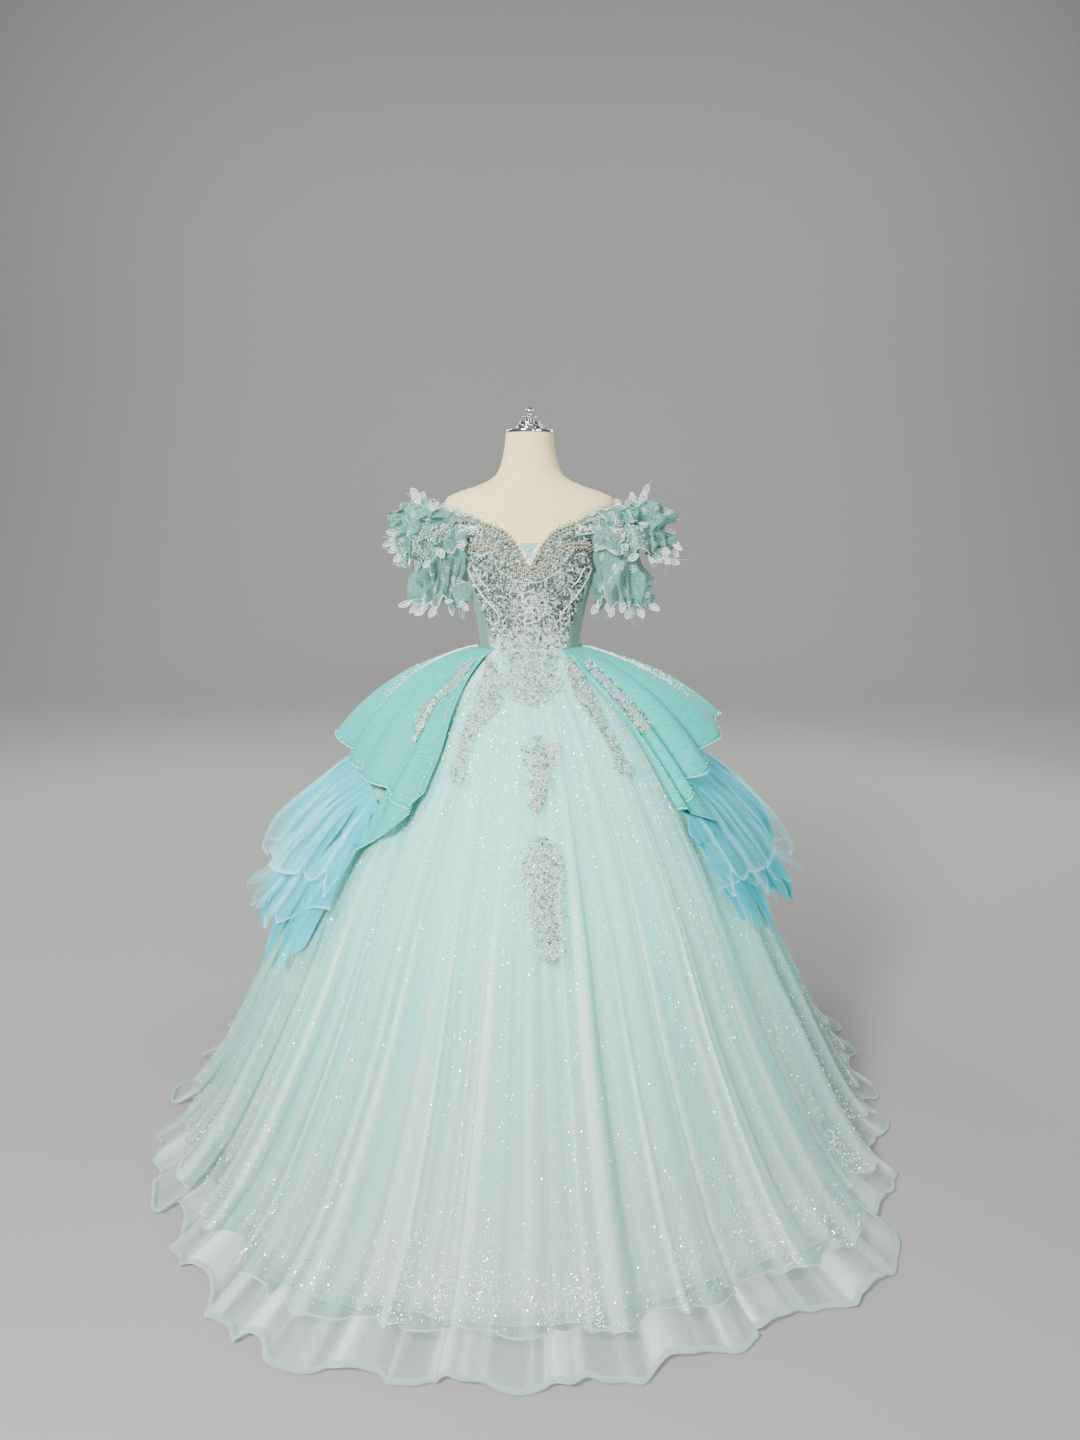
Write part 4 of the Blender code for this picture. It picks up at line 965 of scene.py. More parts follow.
# Guipure lace in aqua: openwork threads a millimetre across over net.
SLEEVE_NET = Finish("aqua_lace", "sleeve_lace", "#3b8479", "#b2ddd5", 0.62, 3.6, alpha=0.70,
                    alpha_gain=0.28, bump=0.6, bump_mm=1.2, sheen=0.2, contrast=(0.44, 0.56))
LEAF = LEAF_LACES("white_lace_leaf", "#eaf3f0", "#f8fcfa", 0.62, 2.0)
LEAF_NET = LEAF_LACES("leaf_net", "#a9c6c1", "#bfd6d2", 0.62, 2.0, alpha=0.4)


# ------------------------------------------------------------------------------ mesh helpers
def deselect() -> None:
    for item in bpy.context.view_layer.objects:
        item.select_set(False)


def finished(piece: Piece, finish: Finish, nodes: Sequence[str]) -> Piece:
    """Give a piece its material and body, and hide the solids that it stands for.

    Args:
        piece: the piece.
        finish: its finish.
        nodes: the solids that it stands for.

    Returns:
        The same piece.
    """
    piece.data.materials.clear()
    piece.data.materials.append(finish.make())
    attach(piece, "root")
    if nodes:
        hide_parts(*nodes)
    LOG.info("%s: %d faces", piece.name, len(piece.data.polygons))
    return piece


def mapped(name: str, points: Array, closed: bool = False,
           density_and_painted_light: Array | None = None) -> Piece:
    """A grid primitive shaped to an array of points.

    Args:
        name: the piece's name.
        points: columns round the gown by rows downwards by 3.
        closed: whether the last column meets the first.
        density_and_painted_light: how much the cloth covers at each point, 0 to 1, for its finish to
            read; on the skirt and bustle nets it also carries painted shade and highlights.

    Returns:
        The shaped object, with its UV map in metres.
    """
    columns, rows = points.shape[:2]
    deselect()
    bpy.ops.mesh.primitive_grid_add(x_subdivisions=columns - 1, y_subdivisions=rows - 1, size=2.0)
    made = bpy.context.object
    made.name = made.data.name = name
    mesh = made.data
    flat = np.empty(len(mesh.vertices) * 3)
    mesh.vertices.foreach_get("co", flat)
    flat = flat.reshape(-1, 3)
    i = np.rint((flat[:, 0] + 1.0) / 2.0 * (columns - 1)).astype(int)
    j = np.rint((flat[:, 1] + 1.0) / 2.0 * (rows - 1)).astype(int)
    mesh.vertices.foreach_set("co", points[i, j].ravel())
    u = travelled(gaps(points, 0).mean(axis=1))
    v = travelled(gaps(points, 1).mean(axis=0))
    corner = np.empty(len(mesh.loops), np.int32)
    mesh.loops.foreach_get("vertex_index", corner)
    mesh.uv_layers[0].data.foreach_set(
        "uv", np.stack((u[i[corner]], v[j[corner]]), axis=1).ravel())
    # The cover, which on the skirt and bustle nets also carries painted shade and highlights, is
    # stored for the finish to read.
    if density_and_painted_light is not None:
        mesh.attributes.new("cover", "FLOAT", "POINT").data.foreach_set(
            "value", density_and_painted_light[i, j].ravel())
    mesh.flip_normals()
    mesh.shade_smooth()
    if closed:
        bpy.ops.object.mode_set(mode="EDIT")
        bpy.ops.mesh.select_all(action="SELECT")
        bpy.ops.mesh.remove_doubles(threshold=0.000001)
        bpy.ops.object.mode_set(mode="OBJECT")
    mesh.update()
    return made


def cloth(name: str, points: Array, finish: Finish, nodes: Sequence[str], held: str,
          rests_on: Sequence[str], closed: bool = False, density_and_painted_light: Array | None = None,
          thickness: float = 0.0, trims: Sequence = ()) -> Piece:
    """A sheet of cloth, whose flat cut's size is worked out and logged.

    The cut's width is its longest row and its length its longest column, because cloth bends
    but hardly stretches, and its area is that of the hanging cloth.

    Args:
        name: the piece's name.
        points: columns round the gown by rows downwards by 3.
        finish: its finish.
        nodes: the solids that it stands for.
        held: not used.
        rests_on: not used.
        closed: whether the last column meets the first.
        density_and_painted_light: how much it covers at each point, with painted shade and highlights
            on the skirt and bustle nets.
        thickness: its wall, where it is drawn with one.
        trims: not used.

    Returns:
        The sheet.
    """
    piece = mapped(name, points, closed, density_and_painted_light)
    if thickness:
        wall = piece.modifiers.new("cloth thickness", "SOLIDIFY")
        wall.thickness = thickness
        wall.offset = -1.0
        bpy.context.view_layer.objects.active = piece
        bpy.ops.object.modifier_apply(modifier=wall.name)
    a, b = points[:-1, :-1], points[1:, :-1]
    c, d = points[1:, 1:], points[:-1, 1:]
    area = 0.5 * (np.linalg.norm(np.cross(b - a, c - a), axis=-1).sum()
                  + np.linalg.norm(np.cross(c - a, d - a), axis=-1).sum())
    length = gaps(points, 1).sum(axis=1).max()
    width = min(gaps(points, 0).sum(axis=0).max(), WIDEST_CUT * area / length)
    finished(piece, finish, nodes)
    list(rests_on)
    list(trims)
    LOG.info("%s: cut %.3f x %.3f m, %.3f square metres", name, width, length, area)
    return piece


@dataclass(frozen=True)
class Template:
    """A small shape that is modelled once and copied many times."""

    vertices: Array
    faces: Array

    @classmethod
    def from_primitive(cls, add: Callable[[], object]) -> "Template":
        """The triangles of a primitive that an operator adds.

        Args:
            add: the operator.

        Returns:
            The shape.
        """
        deselect()
        add()
        item = bpy.context.object
        item.data.calc_loop_triangles()
        vertices = np.array([v.co[:] for v in item.data.vertices])
        faces = np.array([t.vertices[:] for t in item.data.loop_triangles])
        mesh = item.data
        bpy.data.objects.remove(item, do_unlink=True)
        bpy.data.meshes.remove(mesh)
        return cls(vertices, faces)


def joined(name: str, vertices: Array, faces: Array, smooth: bool) -> Piece:
    """One object from many copied shapes' vertices and faces.

    Args:
        name: its name.
        vertices: all vertices, one row each.
        faces: their faces, all with as many corners.
        smooth: whether the faces are shaded smooth.

    Returns:
        The object.
    """
    mesh = bpy.data.meshes.new(name)
    size = faces.shape[1]
    mesh.vertices.add(len(vertices))
    mesh.vertices.foreach_set("co", vertices.ravel())
    mesh.loops.add(faces.size)
    mesh.loops.foreach_set("vertex_index", faces.ravel().astype(np.int32))
    mesh.polygons.add(len(faces))
    mesh.polygons.foreach_set("loop_start", np.arange(0, faces.size, size, dtype=np.int32))
    mesh.update(calc_edges=True)
    mesh.validate()
    if smooth:
        mesh.shade_smooth()
    made = bpy.data.objects.new(name, mesh)
    bpy.context.scene.collection.objects.link(made)
    return made


def copies(name: str, template: Template, finish: Finish, centres: Array, facing: Array,
           sizes: float | Array, seed: int, tilt: float = 0.0, smooth: bool = False,
           heading: Array | None = None, nodes: Sequence[str] = ()) -> Piece:
    """Copy a small shape to many places, its Z along each facing direction.

    Args:
        name: the joined piece's name.
        template: the shape, about its own origin.
        finish: the piece's finish.
        centres: where each copy goes.
        facing: unit directions outwards.
        sizes: each copy's scale.
        seed: for each copy's spin and tilt.
        tilt: how far a copy may lean away from its facing, as a slope.
        smooth: whether the faces are shaded smooth.
        heading: directions for each copy's Y, instead of a random spin.
        nodes: the solids that the piece stands for.

    Returns:
        The joined piece.
    """
    random = np.random.default_rng(seed)
    count = len(centres)
    z = unit(facing + tilt * random.normal(size=(count, 3)))
    guide = random.normal(size=(count, 3)) if heading is None else heading
    x = unit(np.cross(guide, z))
    y = np.cross(z, x)
    shape = template.vertices
    turned = (shape[None, :, 0:1] * x[:, None] + shape[None, :, 1:2] * y[:, None]
              + shape[None, :, 2:3] * z[:, None])
    vertices = centres[:, None] + turned * np.broadcast_to(sizes, count)[:, None, None]
    faces = template.faces[None] + np.arange(count)[:, None, None] * len(shape)
    made = joined(name, vertices.reshape(-1, 3), faces.reshape(-1, faces.shape[-1]), smooth)
    return finished(made, finish, nodes)


def tubes(name: str, paths: Sequence[Array], radius: float, finish: Finish, sides: int = 5) -> Piece:
    """Thin cords along paths, joined into one piece, each closed at its ends.

    Args:
        name: the piece's name.
        paths: each cord's points.
        radius: the cords' radius.
        finish: their finish.
        sides: how many sides a cord has.

    Returns:
        The piece.
    """
    vertices, faces, start = [], [], 0
    aside = np.array([0.31, 0.17, 0.93])
    around = np.arange(sides) * 2.0 * math.pi / sides
    for path in paths:
        path = np.asarray(path, float)
        run = unit(np.gradient(path, axis=0))
        side = unit(np.cross(run, aside))
        up = np.cross(run, side)
        reach = np.full(len(path), radius)
        reach[[0, -1]] = radius * 0.3
        ring = (path[:, None] + reach[:, None, None] * (
            np.cos(around)[None, :, None] * side[:, None]
            + np.sin(around)[None, :, None] * up[:, None]))
        vertices.append(ring.reshape(-1, 3))
        i = np.arange(len(path) - 1)[:, None] * sides
        k = np.arange(sides)[None]
        n = (k + 1) % sides
        quads = np.stack((i + k, i + n, i + sides + n, i + sides + k), axis=-1).reshape(-1, 4)
        faces.append(np.concatenate((quads[:, [0, 1, 2]], quads[:, [0, 2, 3]])) + start)
        last = (len(path) - 1) * sides
        caps = [(0, m + 1, m) for m in range(1, sides - 1)]
        caps += [(last, last + m, last + m + 1) for m in range(1, sides - 1)]
        faces.append(np.array(caps) + start)
        start += len(path) * sides
    made = joined(name, np.concatenate(vertices), np.concatenate(faces), True)
    return finished(made, finish, [])


# ------------------------------------------------------------------------------ dress form
@dataclass
class DressForm:
    """The limbless form: jersey torso, turned cap, pole and foot."""

    columns: int = 84
    rows: int = 64
    flutes: int = 14

    def torso(self) -> None:
        """The smooth torso, closed at the neck and below the hips."""
        heights = np.linspace(BODY[0].height, BODY[-1].height, self.rows)
        turns = np.linspace(0.0, 360.0, self.columns + 1)
        ring = place(turns[:, None], body_radius(turns[:, None], heights[None]), heights[None])
        axis = np.array([0.0, 0.0, 1.0])
        points = np.concatenate((ring[:, :1] * axis, ring, ring[:, -1:] * axis), axis=1)[:, ::-1]
        piece = mapped("torso_jersey", points, closed=True)
        piece.data.set_sharp_from_angle(angle=math.radians(50.0))
        finished(piece, JERSEY, ["form_torso"])

    def cap(self) -> None:
        """The turned finial over a fluted flange and a flat plate."""
        radii = (0.0, 0.0045, 0.0068, 0.0095, 0.0102, 0.0088, 0.0062, 0.0056, 0.0072, 0.0142,
                 0.0172, 0.0168, 0.0120, 0.0096, 0.0110, 0.0236, 0.0252, 0.0230, 0.0290, 0.0335,
                 0.0322, 0.0300, 0.0360, 0.0490, 0.0530, 0.0535, 0.0530, 0.0)
        heights = (1.6500, 1.6496, 1.6480, 1.6455, 1.6425, 1.6392, 1.6368, 1.6344, 1.6330, 1.6312,
                   1.6280, 1.6262, 1.6240, 1.6222, 1.6206, 1.6188, 1.6170, 1.6150, 1.6128, 1.6104,
                   1.6070, 1.6052, 1.6040, 1.6022, 1.6002, 1.5980, 1.5946, 1.5943)
        place_on = np.linspace(0.0, 1.0, len(radii))
        fine = np.linspace(0.0, 1.0, 3 * len(radii))
        radius, height = Curve(place_on, radii)(fine), Curve(place_on, heights)(fine)
        turns = np.linspace(0.0, 360.0, self.columns + 1)
        cut = 0.05 * bell(height, 1.611, 0.004) + 0.05 * bell(height, 1.6275, 0.003)
        flute = 1.0 + cut[None] * np.cos(np.radians(self.flutes * turns))[:, None]
        points = place(turns[:, None], radius[None] * flute, height[None])
        finished(mapped("cap_turned", points, closed=True), NICKEL, ["form_neck_cap"])

    def stand(self) -> None:
        """Powder coat on the pole and foot."""
        for name in ("form_pole", "form_foot"):
            item = frame["nodes"][name]
            item = bpy.data.objects[item] if isinstance(item, str) else item
            for spot in item.material_slots:
                spot.material = POWDER.make()

    def build(self) -> None:
        """Build the form."""
        self.torso()
        self.cap()
        self.stand()


# ------------------------------------------------------------------------------ bodice
@dataclass
class Bodice:
    """The boned bodice: satin panels and the neckline insert."""

    panels: tuple = (("front", -30.0, 30.0), ("side_front_left", 30.0, 60.0),
                     ("side_left", 60.0, 105.0), ("back_left", 105.0, 180.0),
                     ("side_front_right", -60.0, -30.0), ("side_right", -105.0, -60.0),
                     ("back_right", -180.0, -105.0))
    rows: int = 44
    seam_turn: float = 0.10
    column_turn: float = 1.5

    def cloth_panels(self) -> None:
        """Seven satin panels with fine seams between them."""
        for name, start, end in self.panels:
            turns = np.linspace(start + self.seam_turn, end - self.seam_turn,
                                int(abs(end - start) / self.column_turn) + 1)[:, None]
            top = NECKLINE_CURVE(np.abs(turns))
            heights = top + (WAIST + 0.0003 - top) * np.linspace(0.0, 1.0, self.rows)[None]
            points = bodice_point(turns, heights)
            ground = LACED if "front" in name else SATIN
            cloth("bodice_cloth_" + name, points, ground, ["bodice_" + name], "stretched",
                  ["torso_jersey"])

    def insert(self) -> None:
        """The pale V insert above the bodice's edge."""
        top, reach = 1.354, 12.0
        turns = np.linspace(-reach, reach, 25)[:, None]
        low = NECKLINE_CURVE(np.abs(turns)) + LAYER
        heights = top + (low - top) * np.linspace(0.0, 1.0, 9)[None]
        points = place(turns, body_radius(turns, heights) + 0.0031, heights)
        cloth("insert_cloth", points, INSERT, ["neckline_insert"], "stretched", ["torso_jersey"])

    def build(self) -> None:
        """Build the bodice."""
        self.cloth_panels()
        self.insert()


# ------------------------------------------------------------------------------ skirts
@dataclass
class Skirts:
    """The glitter underskirt and the tulle overskirt with its hem band and braid."""

    under_columns: int = 288
    gore_columns: int = 128
    gore_rows: int = 46
    band_rows: int = 14
    under_rows: int = 48
    under_hem: float = 7.55
    seam_cord: float = 0.0013
    flank_cover: float = 0.34
    fine_cover: float = 0.16
    streak_cover: float = 0.30
    crowd_cover: float = 0.45
    pleat_cover: float = 1.5
    bare: float = 0.20            # taken off the sum of the covers

    def underskirt(self) -> None:
        """The underskirt, one tube whose last handbreadth is sheer."""
        turns = np.linspace(0.0, 360.0, self.under_columns + 1)[:, None]
        steps = np.linspace(0.0, self.under_hem, self.under_rows)[None]
        points = underskirt_point(turns, steps)
        density_and_painted_light = np.broadcast_to(1.0 - ease((steps - 7.15) / 0.2), points.shape[:2])
        cloth("underskirt_cloth", points, GLITTER_CLOTH, ["underskirt"], "gathered",
              ["bodice_cloth_front"], closed=True, density_and_painted_light=density_and_painted_light)

    def cover(self, turns: Array, steps: Array) -> Array:
        """How densely the net covers: more on the flanks of folds and where they crowd. Along both
        flanks of each pleat, one heavier than the other, it adds lines that are partly net seen
        edge-on and partly painted light: painted shade in the tulle, painted highlights in the veil.

        Args:
            turns: turns round the gown.
            steps: steps down the skirt.

        Returns:
            How much the net covers, with the painted light along the pleats, 0 to 1.
        """
        edge = np.abs(np.sin(fold_phase(turns) + 0.8)) ** 8 * np.clip(fold_strength(turns), 0.3, 1.6)
        fine = 0.5 + 0.5 * ripple(turns, 31, 70, 110)
        edge = edge * (0.30 + 0.70 * ease(np.abs(wrapped(turns)) / 50.0))
        crowd = 1.0 - 0.85 * ease(steps / 4.2)
        # Painted light and shade: lines down both flanks of each pleat, one flank heavier, darken the
        # tulle and whiten the veil over it.
        pleat_cover_and_light = np.zeros(np.broadcast(turns, steps).shape)
        for pleat in PLEATS:
            for side, share in ((0.9, 0.9), (-0.9, 0.4)):      # each pleat's two flanks
                at = pleat.turn + side * pleat.width
                line = bell(wrapped(turns - at), 0.0, 0.34 * pleat.width)
                pleat_cover_and_light = pleat_cover_and_light + share * line * ease((steps - pleat.start) / 2.5)
        streak = np.clip(ripple(turns, 33, 16, 34), 0.0, 1.5)
        return np.clip(self.flank_cover * edge + self.fine_cover * fine + self.streak_cover * streak
                       + self.crowd_cover * crowd + self.pleat_cover * pleat_cover_and_light - self.bare, 0.0, 1.0)

    def gore(self, name: str, middle: float) -> None:
        """One gore of tulle with its sheer hem band and braid.

        Args:
            name: the gore's name.
            middle: the turn of its middle.
        """
        half = GORE_TURN / 2.0 - 0.02
        turns = np.linspace(middle - half, middle + half, self.gore_columns + 1)[:, None]
        steps = np.linspace(0.0, HEM_SEAM, self.gore_rows + 1)[None]
        cloth("tulle_cloth_" + name, skirt_point(turns, steps), TULLE, ["tulle_" + name],
              "gathered", ["underskirt_cloth"], density_and_painted_light=self.cover(turns, steps))
        steps = steps[:, ::2]
        # The veil reads the same cover a little further round; where it is denser it turns whitish,
        # partly denser net and partly painted highlights beside the tulle's painted shade.
        cloth("tulle_veil_" + name, skirt_point(turns, steps, 1.0), VEIL, [], "gathered",
              ["tulle_cloth_" + name], density_and_painted_light=self.cover(turns + 3.0, steps))
        steps = np.concatenate(([HEM_SEAM, HEM_SEAM + 0.03, HEM_SEAM + 0.05],
                                np.linspace(HEM_SEAM + 0.08, HEM_EDGE, self.band_rows)))[None]
        folded = np.abs(np.sin(0.5 * fold_phase(turns) + 0.4)) ** 8
        creased = bell(ripple(turns, 37, 44, 80), 1.1, 0.35)
        density_and_painted_light = np.clip(0.45 * self.cover(turns, steps) + 0.75 * folded + 0.45 * creased, 0.0, 1.0)
        density_and_painted_light[:, :2] = 0.9
        edge = np.linspace(HEM_EDGE - 0.13, HEM_EDGE - 0.01, 4)[None]
        points = skirt_point(turns, edge) + 0.0020 * normals(skirt_point, turns, edge, 0.5, 0.05)
        braid = finished(mapped("braid_" + name, points), BRAID, ["hem_braid_" + name])
        line = np.full(len(turns), HEM_SEAM + 0.015)
        seam = tubes("hem_seam_" + name, [skirt_point(turns[:, 0], line)], self.seam_cord, BRAID)
        cloth("hem_cloth_" + name, skirt_point(turns, steps), HEM_TULLE, ["hem_band_" + name],
              "gathered", ["tulle_cloth_" + name], density_and_painted_light=density_and_painted_light, trims=[braid, seam])

    def build(self) -> None:
        """Build both skirts."""
        self.underskirt()
        for name, middle in GORES.items():
            self.gore(name, middle)


# ------------------------------------------------------------------------------ drapes
@dataclass
class Drapes:
    """The two satin organza drapes, with the corner that folds under each."""

    columns: int = 216
    rows: int = 32
    hem_width: float = 0.0038
    wall: float = 0.0008
    fine_crease: float = 0.0008
    point_columns: int = 31
    point_rows: int = 17
    tucked: float = 0.0019        # the corner lies this far under its drape

    def surface(self, side: str, sign: float, creased: float = 1.0) -> Surface:
        """The drape's face over runs from the front edge to centre back and shares downwards.

        Args:
            side: left or right.
            sign: 1 on the wearer's left, -1 on the right.
            creased: how deep the creases are.

        Returns:
            A function from runs and shares to points.
        """
        lines = curves(DRAPE[side], np.linspace(0.0, 1.0, len(DRAPE[side])))
        waist = SKIRT[0]

        def face(run: Array, share: Array) -> Array:
            """The drape's points.

            Args:
                run: runs from the front edge to centre back.
                share: shares downwards.

            Returns:
                The points.
            """
            run = run if sign > 0 else 1.0 - run
            near, far = lines.waist_turn(run), lines.hem_turn(run)
            turn = near + (far - near) * ease(share * 1.2)
            top = section(turn, waist.side, waist.front, waist.back) + LAID
            start = (1.0 - share) * (1.0 - 2.0 * share)
            middle = 4.0 * share * (1.0 - share)
            end = share * (2.0 * share - 1.0)
            radius = start * top + middle * lines.middle_radius(run) + end * lines.hem_radius(run)
            height = (start * (waist.height + 0.002) + middle * lines.middle_height(run)
                      + end * lines.hem_height(run))
            crease = self.fine_crease * ripple(run * 150.0, 51, 9, 24) * ease(share * 2.5)
            for line in CREASES:
                crease = crease + line.depth * bell(run, line.run, line.width) * ease(share * 2.2)
            crease = crease * creased
            height = height - 0.45 * crease * ease(2.0 * share - 1.0) * ease((run - 0.5) * 8.0)
            clear = skirt_reach(sign * turn, height) + LAID + 0.0085 * ease(share * 8.0)
            stand = radius + crease - clear
            soft = 0.5 * (stand + np.sqrt(stand * stand + 0.00002))
            tucked = bodice_radius(turn, waist.height) + 0.0009
            free = ease(share / 0.05)
            return place(sign * turn, tucked + (clear + soft - tucked) * free, height)

        return face

    def build(self) -> None:
        """Build both drapes."""
        for side, sign in SIDES.items():
            face = self.surface(side, sign)
            runs = np.linspace(0.0, 1.0, self.columns + 1)[:, None]
            shares = np.linspace(0.0, 1.0, self.rows + 1)[None]
            hem = self.hem("drape_hem_" + side, face(runs, np.linspace(0.955, 1.0, 4)[None]))
            cloth("drape_cloth_" + side, face(runs, shares), ORGANZA, ["drape_" + side],
                  "draped", ["tulle_cloth_side_" + side], thickness=self.wall, trims=[hem])
            lines = 2 * (len(DRAPE[side]) - 1)
            first, last = (k / lines for k in POINT_COLUMNS)
            tip = curves(DRAPE_POINT[side])
            share_across = np.linspace(0.0, 1.0, self.point_columns)
            front_run = first + (last - first) * share_across
            run = front_run if sign > 0 else 1.0 - front_run
            turn = sign * tip.turn(share_across)
            height = tip.height(share_across)
            edge = place(turn, skirt_reach(turn, height) + POINT_STAND[side], height)
            end = np.ones_like(run)
            caught = face(run, end) - self.tucked * normals(face, run, end, 0.01, 0.04)
            down = np.linspace(0.0, 1.0, self.point_rows)[None, :, None]
            points = caught[:, None] + (edge - caught)[:, None] * down
            points = points if sign > 0 else points[::-1]
            hem = self.hem("drape_point_hem_" + side, points[:, -4:])
            cloth("drape_point_cloth_" + side, points, ORGANZA, ["drape_point_" + side],
                  "folded", ["drape_cloth_" + side], thickness=self.wall, trims=[hem])

    def hem(self, name: str, points: Array) -> Piece:
        """The light turned-up hem on an edge whose last rows are given.

        Args:
            name: the hem's name.
            points: the last rows, from above to the edge.

        Returns:
            The hem.
        """
        last = points[:, -1:]
        shares = np.linspace(self.hem_width, -LAYER, 4)[None, :, None]
        strip = last + unit(points[:, :1] - last) * shares
        out = unit(np.cross(np.gradient(strip, axis=1), np.gradient(strip, axis=0)))
        return finished(mapped(name, strip + 0.0006 * out), ORGANZA_EDGE, [])


# ------------------------------------------------------------------------------ bustle
@dataclass
class Bustle:
    """The gathered blue tulle tiers under the drapes, each with a sheerer veil over it."""

    columns: int = 272
    rows: int = 22
    petals: float = 17.0
    slit: float = 0.075
    slant: float = 17.0
    uneven: float = 0.075
    cup: float = 0.013
    flare: float = 0.030
    waves: float = 8.0
    wave: float = 0.013
    gather: float = 0.0120
    crimp: float = 0.0030
    tuck: float = 0.026           # how much nearer the skirt the lower tier's top lies
    veil_gap: float = 0.014

    def tier(self, name: str, side: str, sign: float, table: Sequence[TierRow], inner: float,
             veil: float) -> None:
        """One tier, or its veil when veil is 1.

        Args:
            name: the start of its solid's name.
            side: left or right.
            sign: 1 on the wearer's left, -1 on the right.
            table: its heights round the gown.
            inner: 1 for the lower tier, which stands out less, 0 for the upper.
            veil: 1 for the sheerer layer over it.
        """
        line, puff = curves(table), curves(PUFF)
        turns = np.linspace(BUSTLE_START, CENTRE_BACK, self.columns + 1)[:, None]
        shares = np.linspace(0.0, 1.0, self.rows + 1)[None]
        seed = 70 + int(10 * inner + 20 * veil)
        run = (turns - BUSTLE_START) / (CENTRE_BACK - BUSTLE_START)
        swept = turns + self.slant * (shares - 0.3) * np.sin(math.pi * run) ** 0.5
        count = run * self.petals + 0.5 * veil + 0.6 * ripple(turns, seed, 4, 9)
        petal = np.abs(count % 1.0 - 0.5) * 2.0
        own = patchy(np.floor(count), np.full_like(count, 7.0), seed + 6)
        deep = self.slit * (1.0 + 0.25 * ripple(turns, seed + 1, 8, 20))
        jag = deep * (1.0 - np.sqrt(np.maximum(1.0 - petal, 0.0)) - 0.25)
        jag = jag + self.uneven * (own - 0.5) * (1.0 - petal ** 6)
        height = line.top(turns) + (line.hem(turns) - line.top(turns)) * shares
        shift = veil * (0.060 if inner else -0.070)
        height = height + jag * shares ** 2.5 + shift * shares ** 2
        full = ease((turns - BUSTLE_SWELL[side]) / 34.0)
        stand = puff.stand(height) - inner * self.tuck * ease((height - 0.50) / 0.08)
        wave = self.wave * shares * np.cos(2.0 * math.pi * self.waves * run)
        hollow = self.cup * (1.0 - petal ** 2) * ease(shares * 1.4)
        flare = self.flare * (1.0 + veil) * own * (1.0 - petal ** 2) * ease((shares - 0.5) / 0.5)
        folds = ripple(turns, seed + 3, 34, 56)
        fine = ease(shares * 1.6) * (self.gather * folds
                                     + self.crimp * ripple(turns, seed + 4, 90, 140))
        radius = skirt_reach(sign * swept, height) + LAYER + NET + 0.0005
        radius = radius + (0.0030 + (1.0 - inner) * 0.0045 * (1.0 - full)) * ease(shares * 4.0)
        radius = radius + full * (ease(shares * 2.5) * np.maximum(stand + wave + fine + hollow, 0.0)
                                  + flare)
        radius = radius + veil * self.veil_gap * ease(shares * 2.0)
        lean = np.degrees(fine * 1.6 / radius)
        points = place(sign * (swept + lean), radius, height)
        # Cover of the blue tulle, which darkens it: heavy in the hollows where the gathers fold in,
        # partly crowded net and partly painted shade; heavier down each petal's middle and near the
        # sewn top, lighter at the tips.
        ridge = bell(petal, 0.0, 0.16) * ease(shares * 2.0) * 0.25
        sheer = 0.55 * ease((shares - 0.68) / 0.32) - 0.35 * (1.0 - shares)
        density_and_painted_light = np.clip(0.46 - 0.85 * folds + ridge - sheer, 0.0, 1.0)
        if veil:
            # The veil is denser, and so whitish, along random streaks and at its hem: partly denser
            # net, partly painted highlights.
            streak = bell(ripple(turns, seed + 5, 40, 84), 1.3, 0.55) * ease(shares * 2.0)
            density_and_painted_light = np.clip(0.05 + 0.85 * streak * (1.0 - 0.45 * shares)
                              + 0.85 * bell(shares, 1.0, 0.030), 0.0, 1.0)
        if sign < 0:
            points, density_and_painted_light = points[::-1], density_and_painted_light[::-1]
        nodes = [] if veil else [name + side]
        finish = BLUE_VEIL if veil else BLUE
        label = name.replace("bustle_", "veil_" if veil else "bustle_cloth_") + side
        cloth(label, points, finish, nodes, "gathered", ["tulle_cloth_side_" + side],
              density_and_painted_light=np.broadcast_to(density_and_painted_light, points.shape[:2]))

    def build(self) -> None:
        """Build both tiers of both sides."""
        for side, sign in SIDES.items():
            for veil in (0.0, 1.0):
                self.tier("bustle_upper_", side, sign, UPPER_TIER, 0.0, veil)
                self.tier("bustle_lower_", side, sign, LOWER_TIER[side], 1.0, veil)


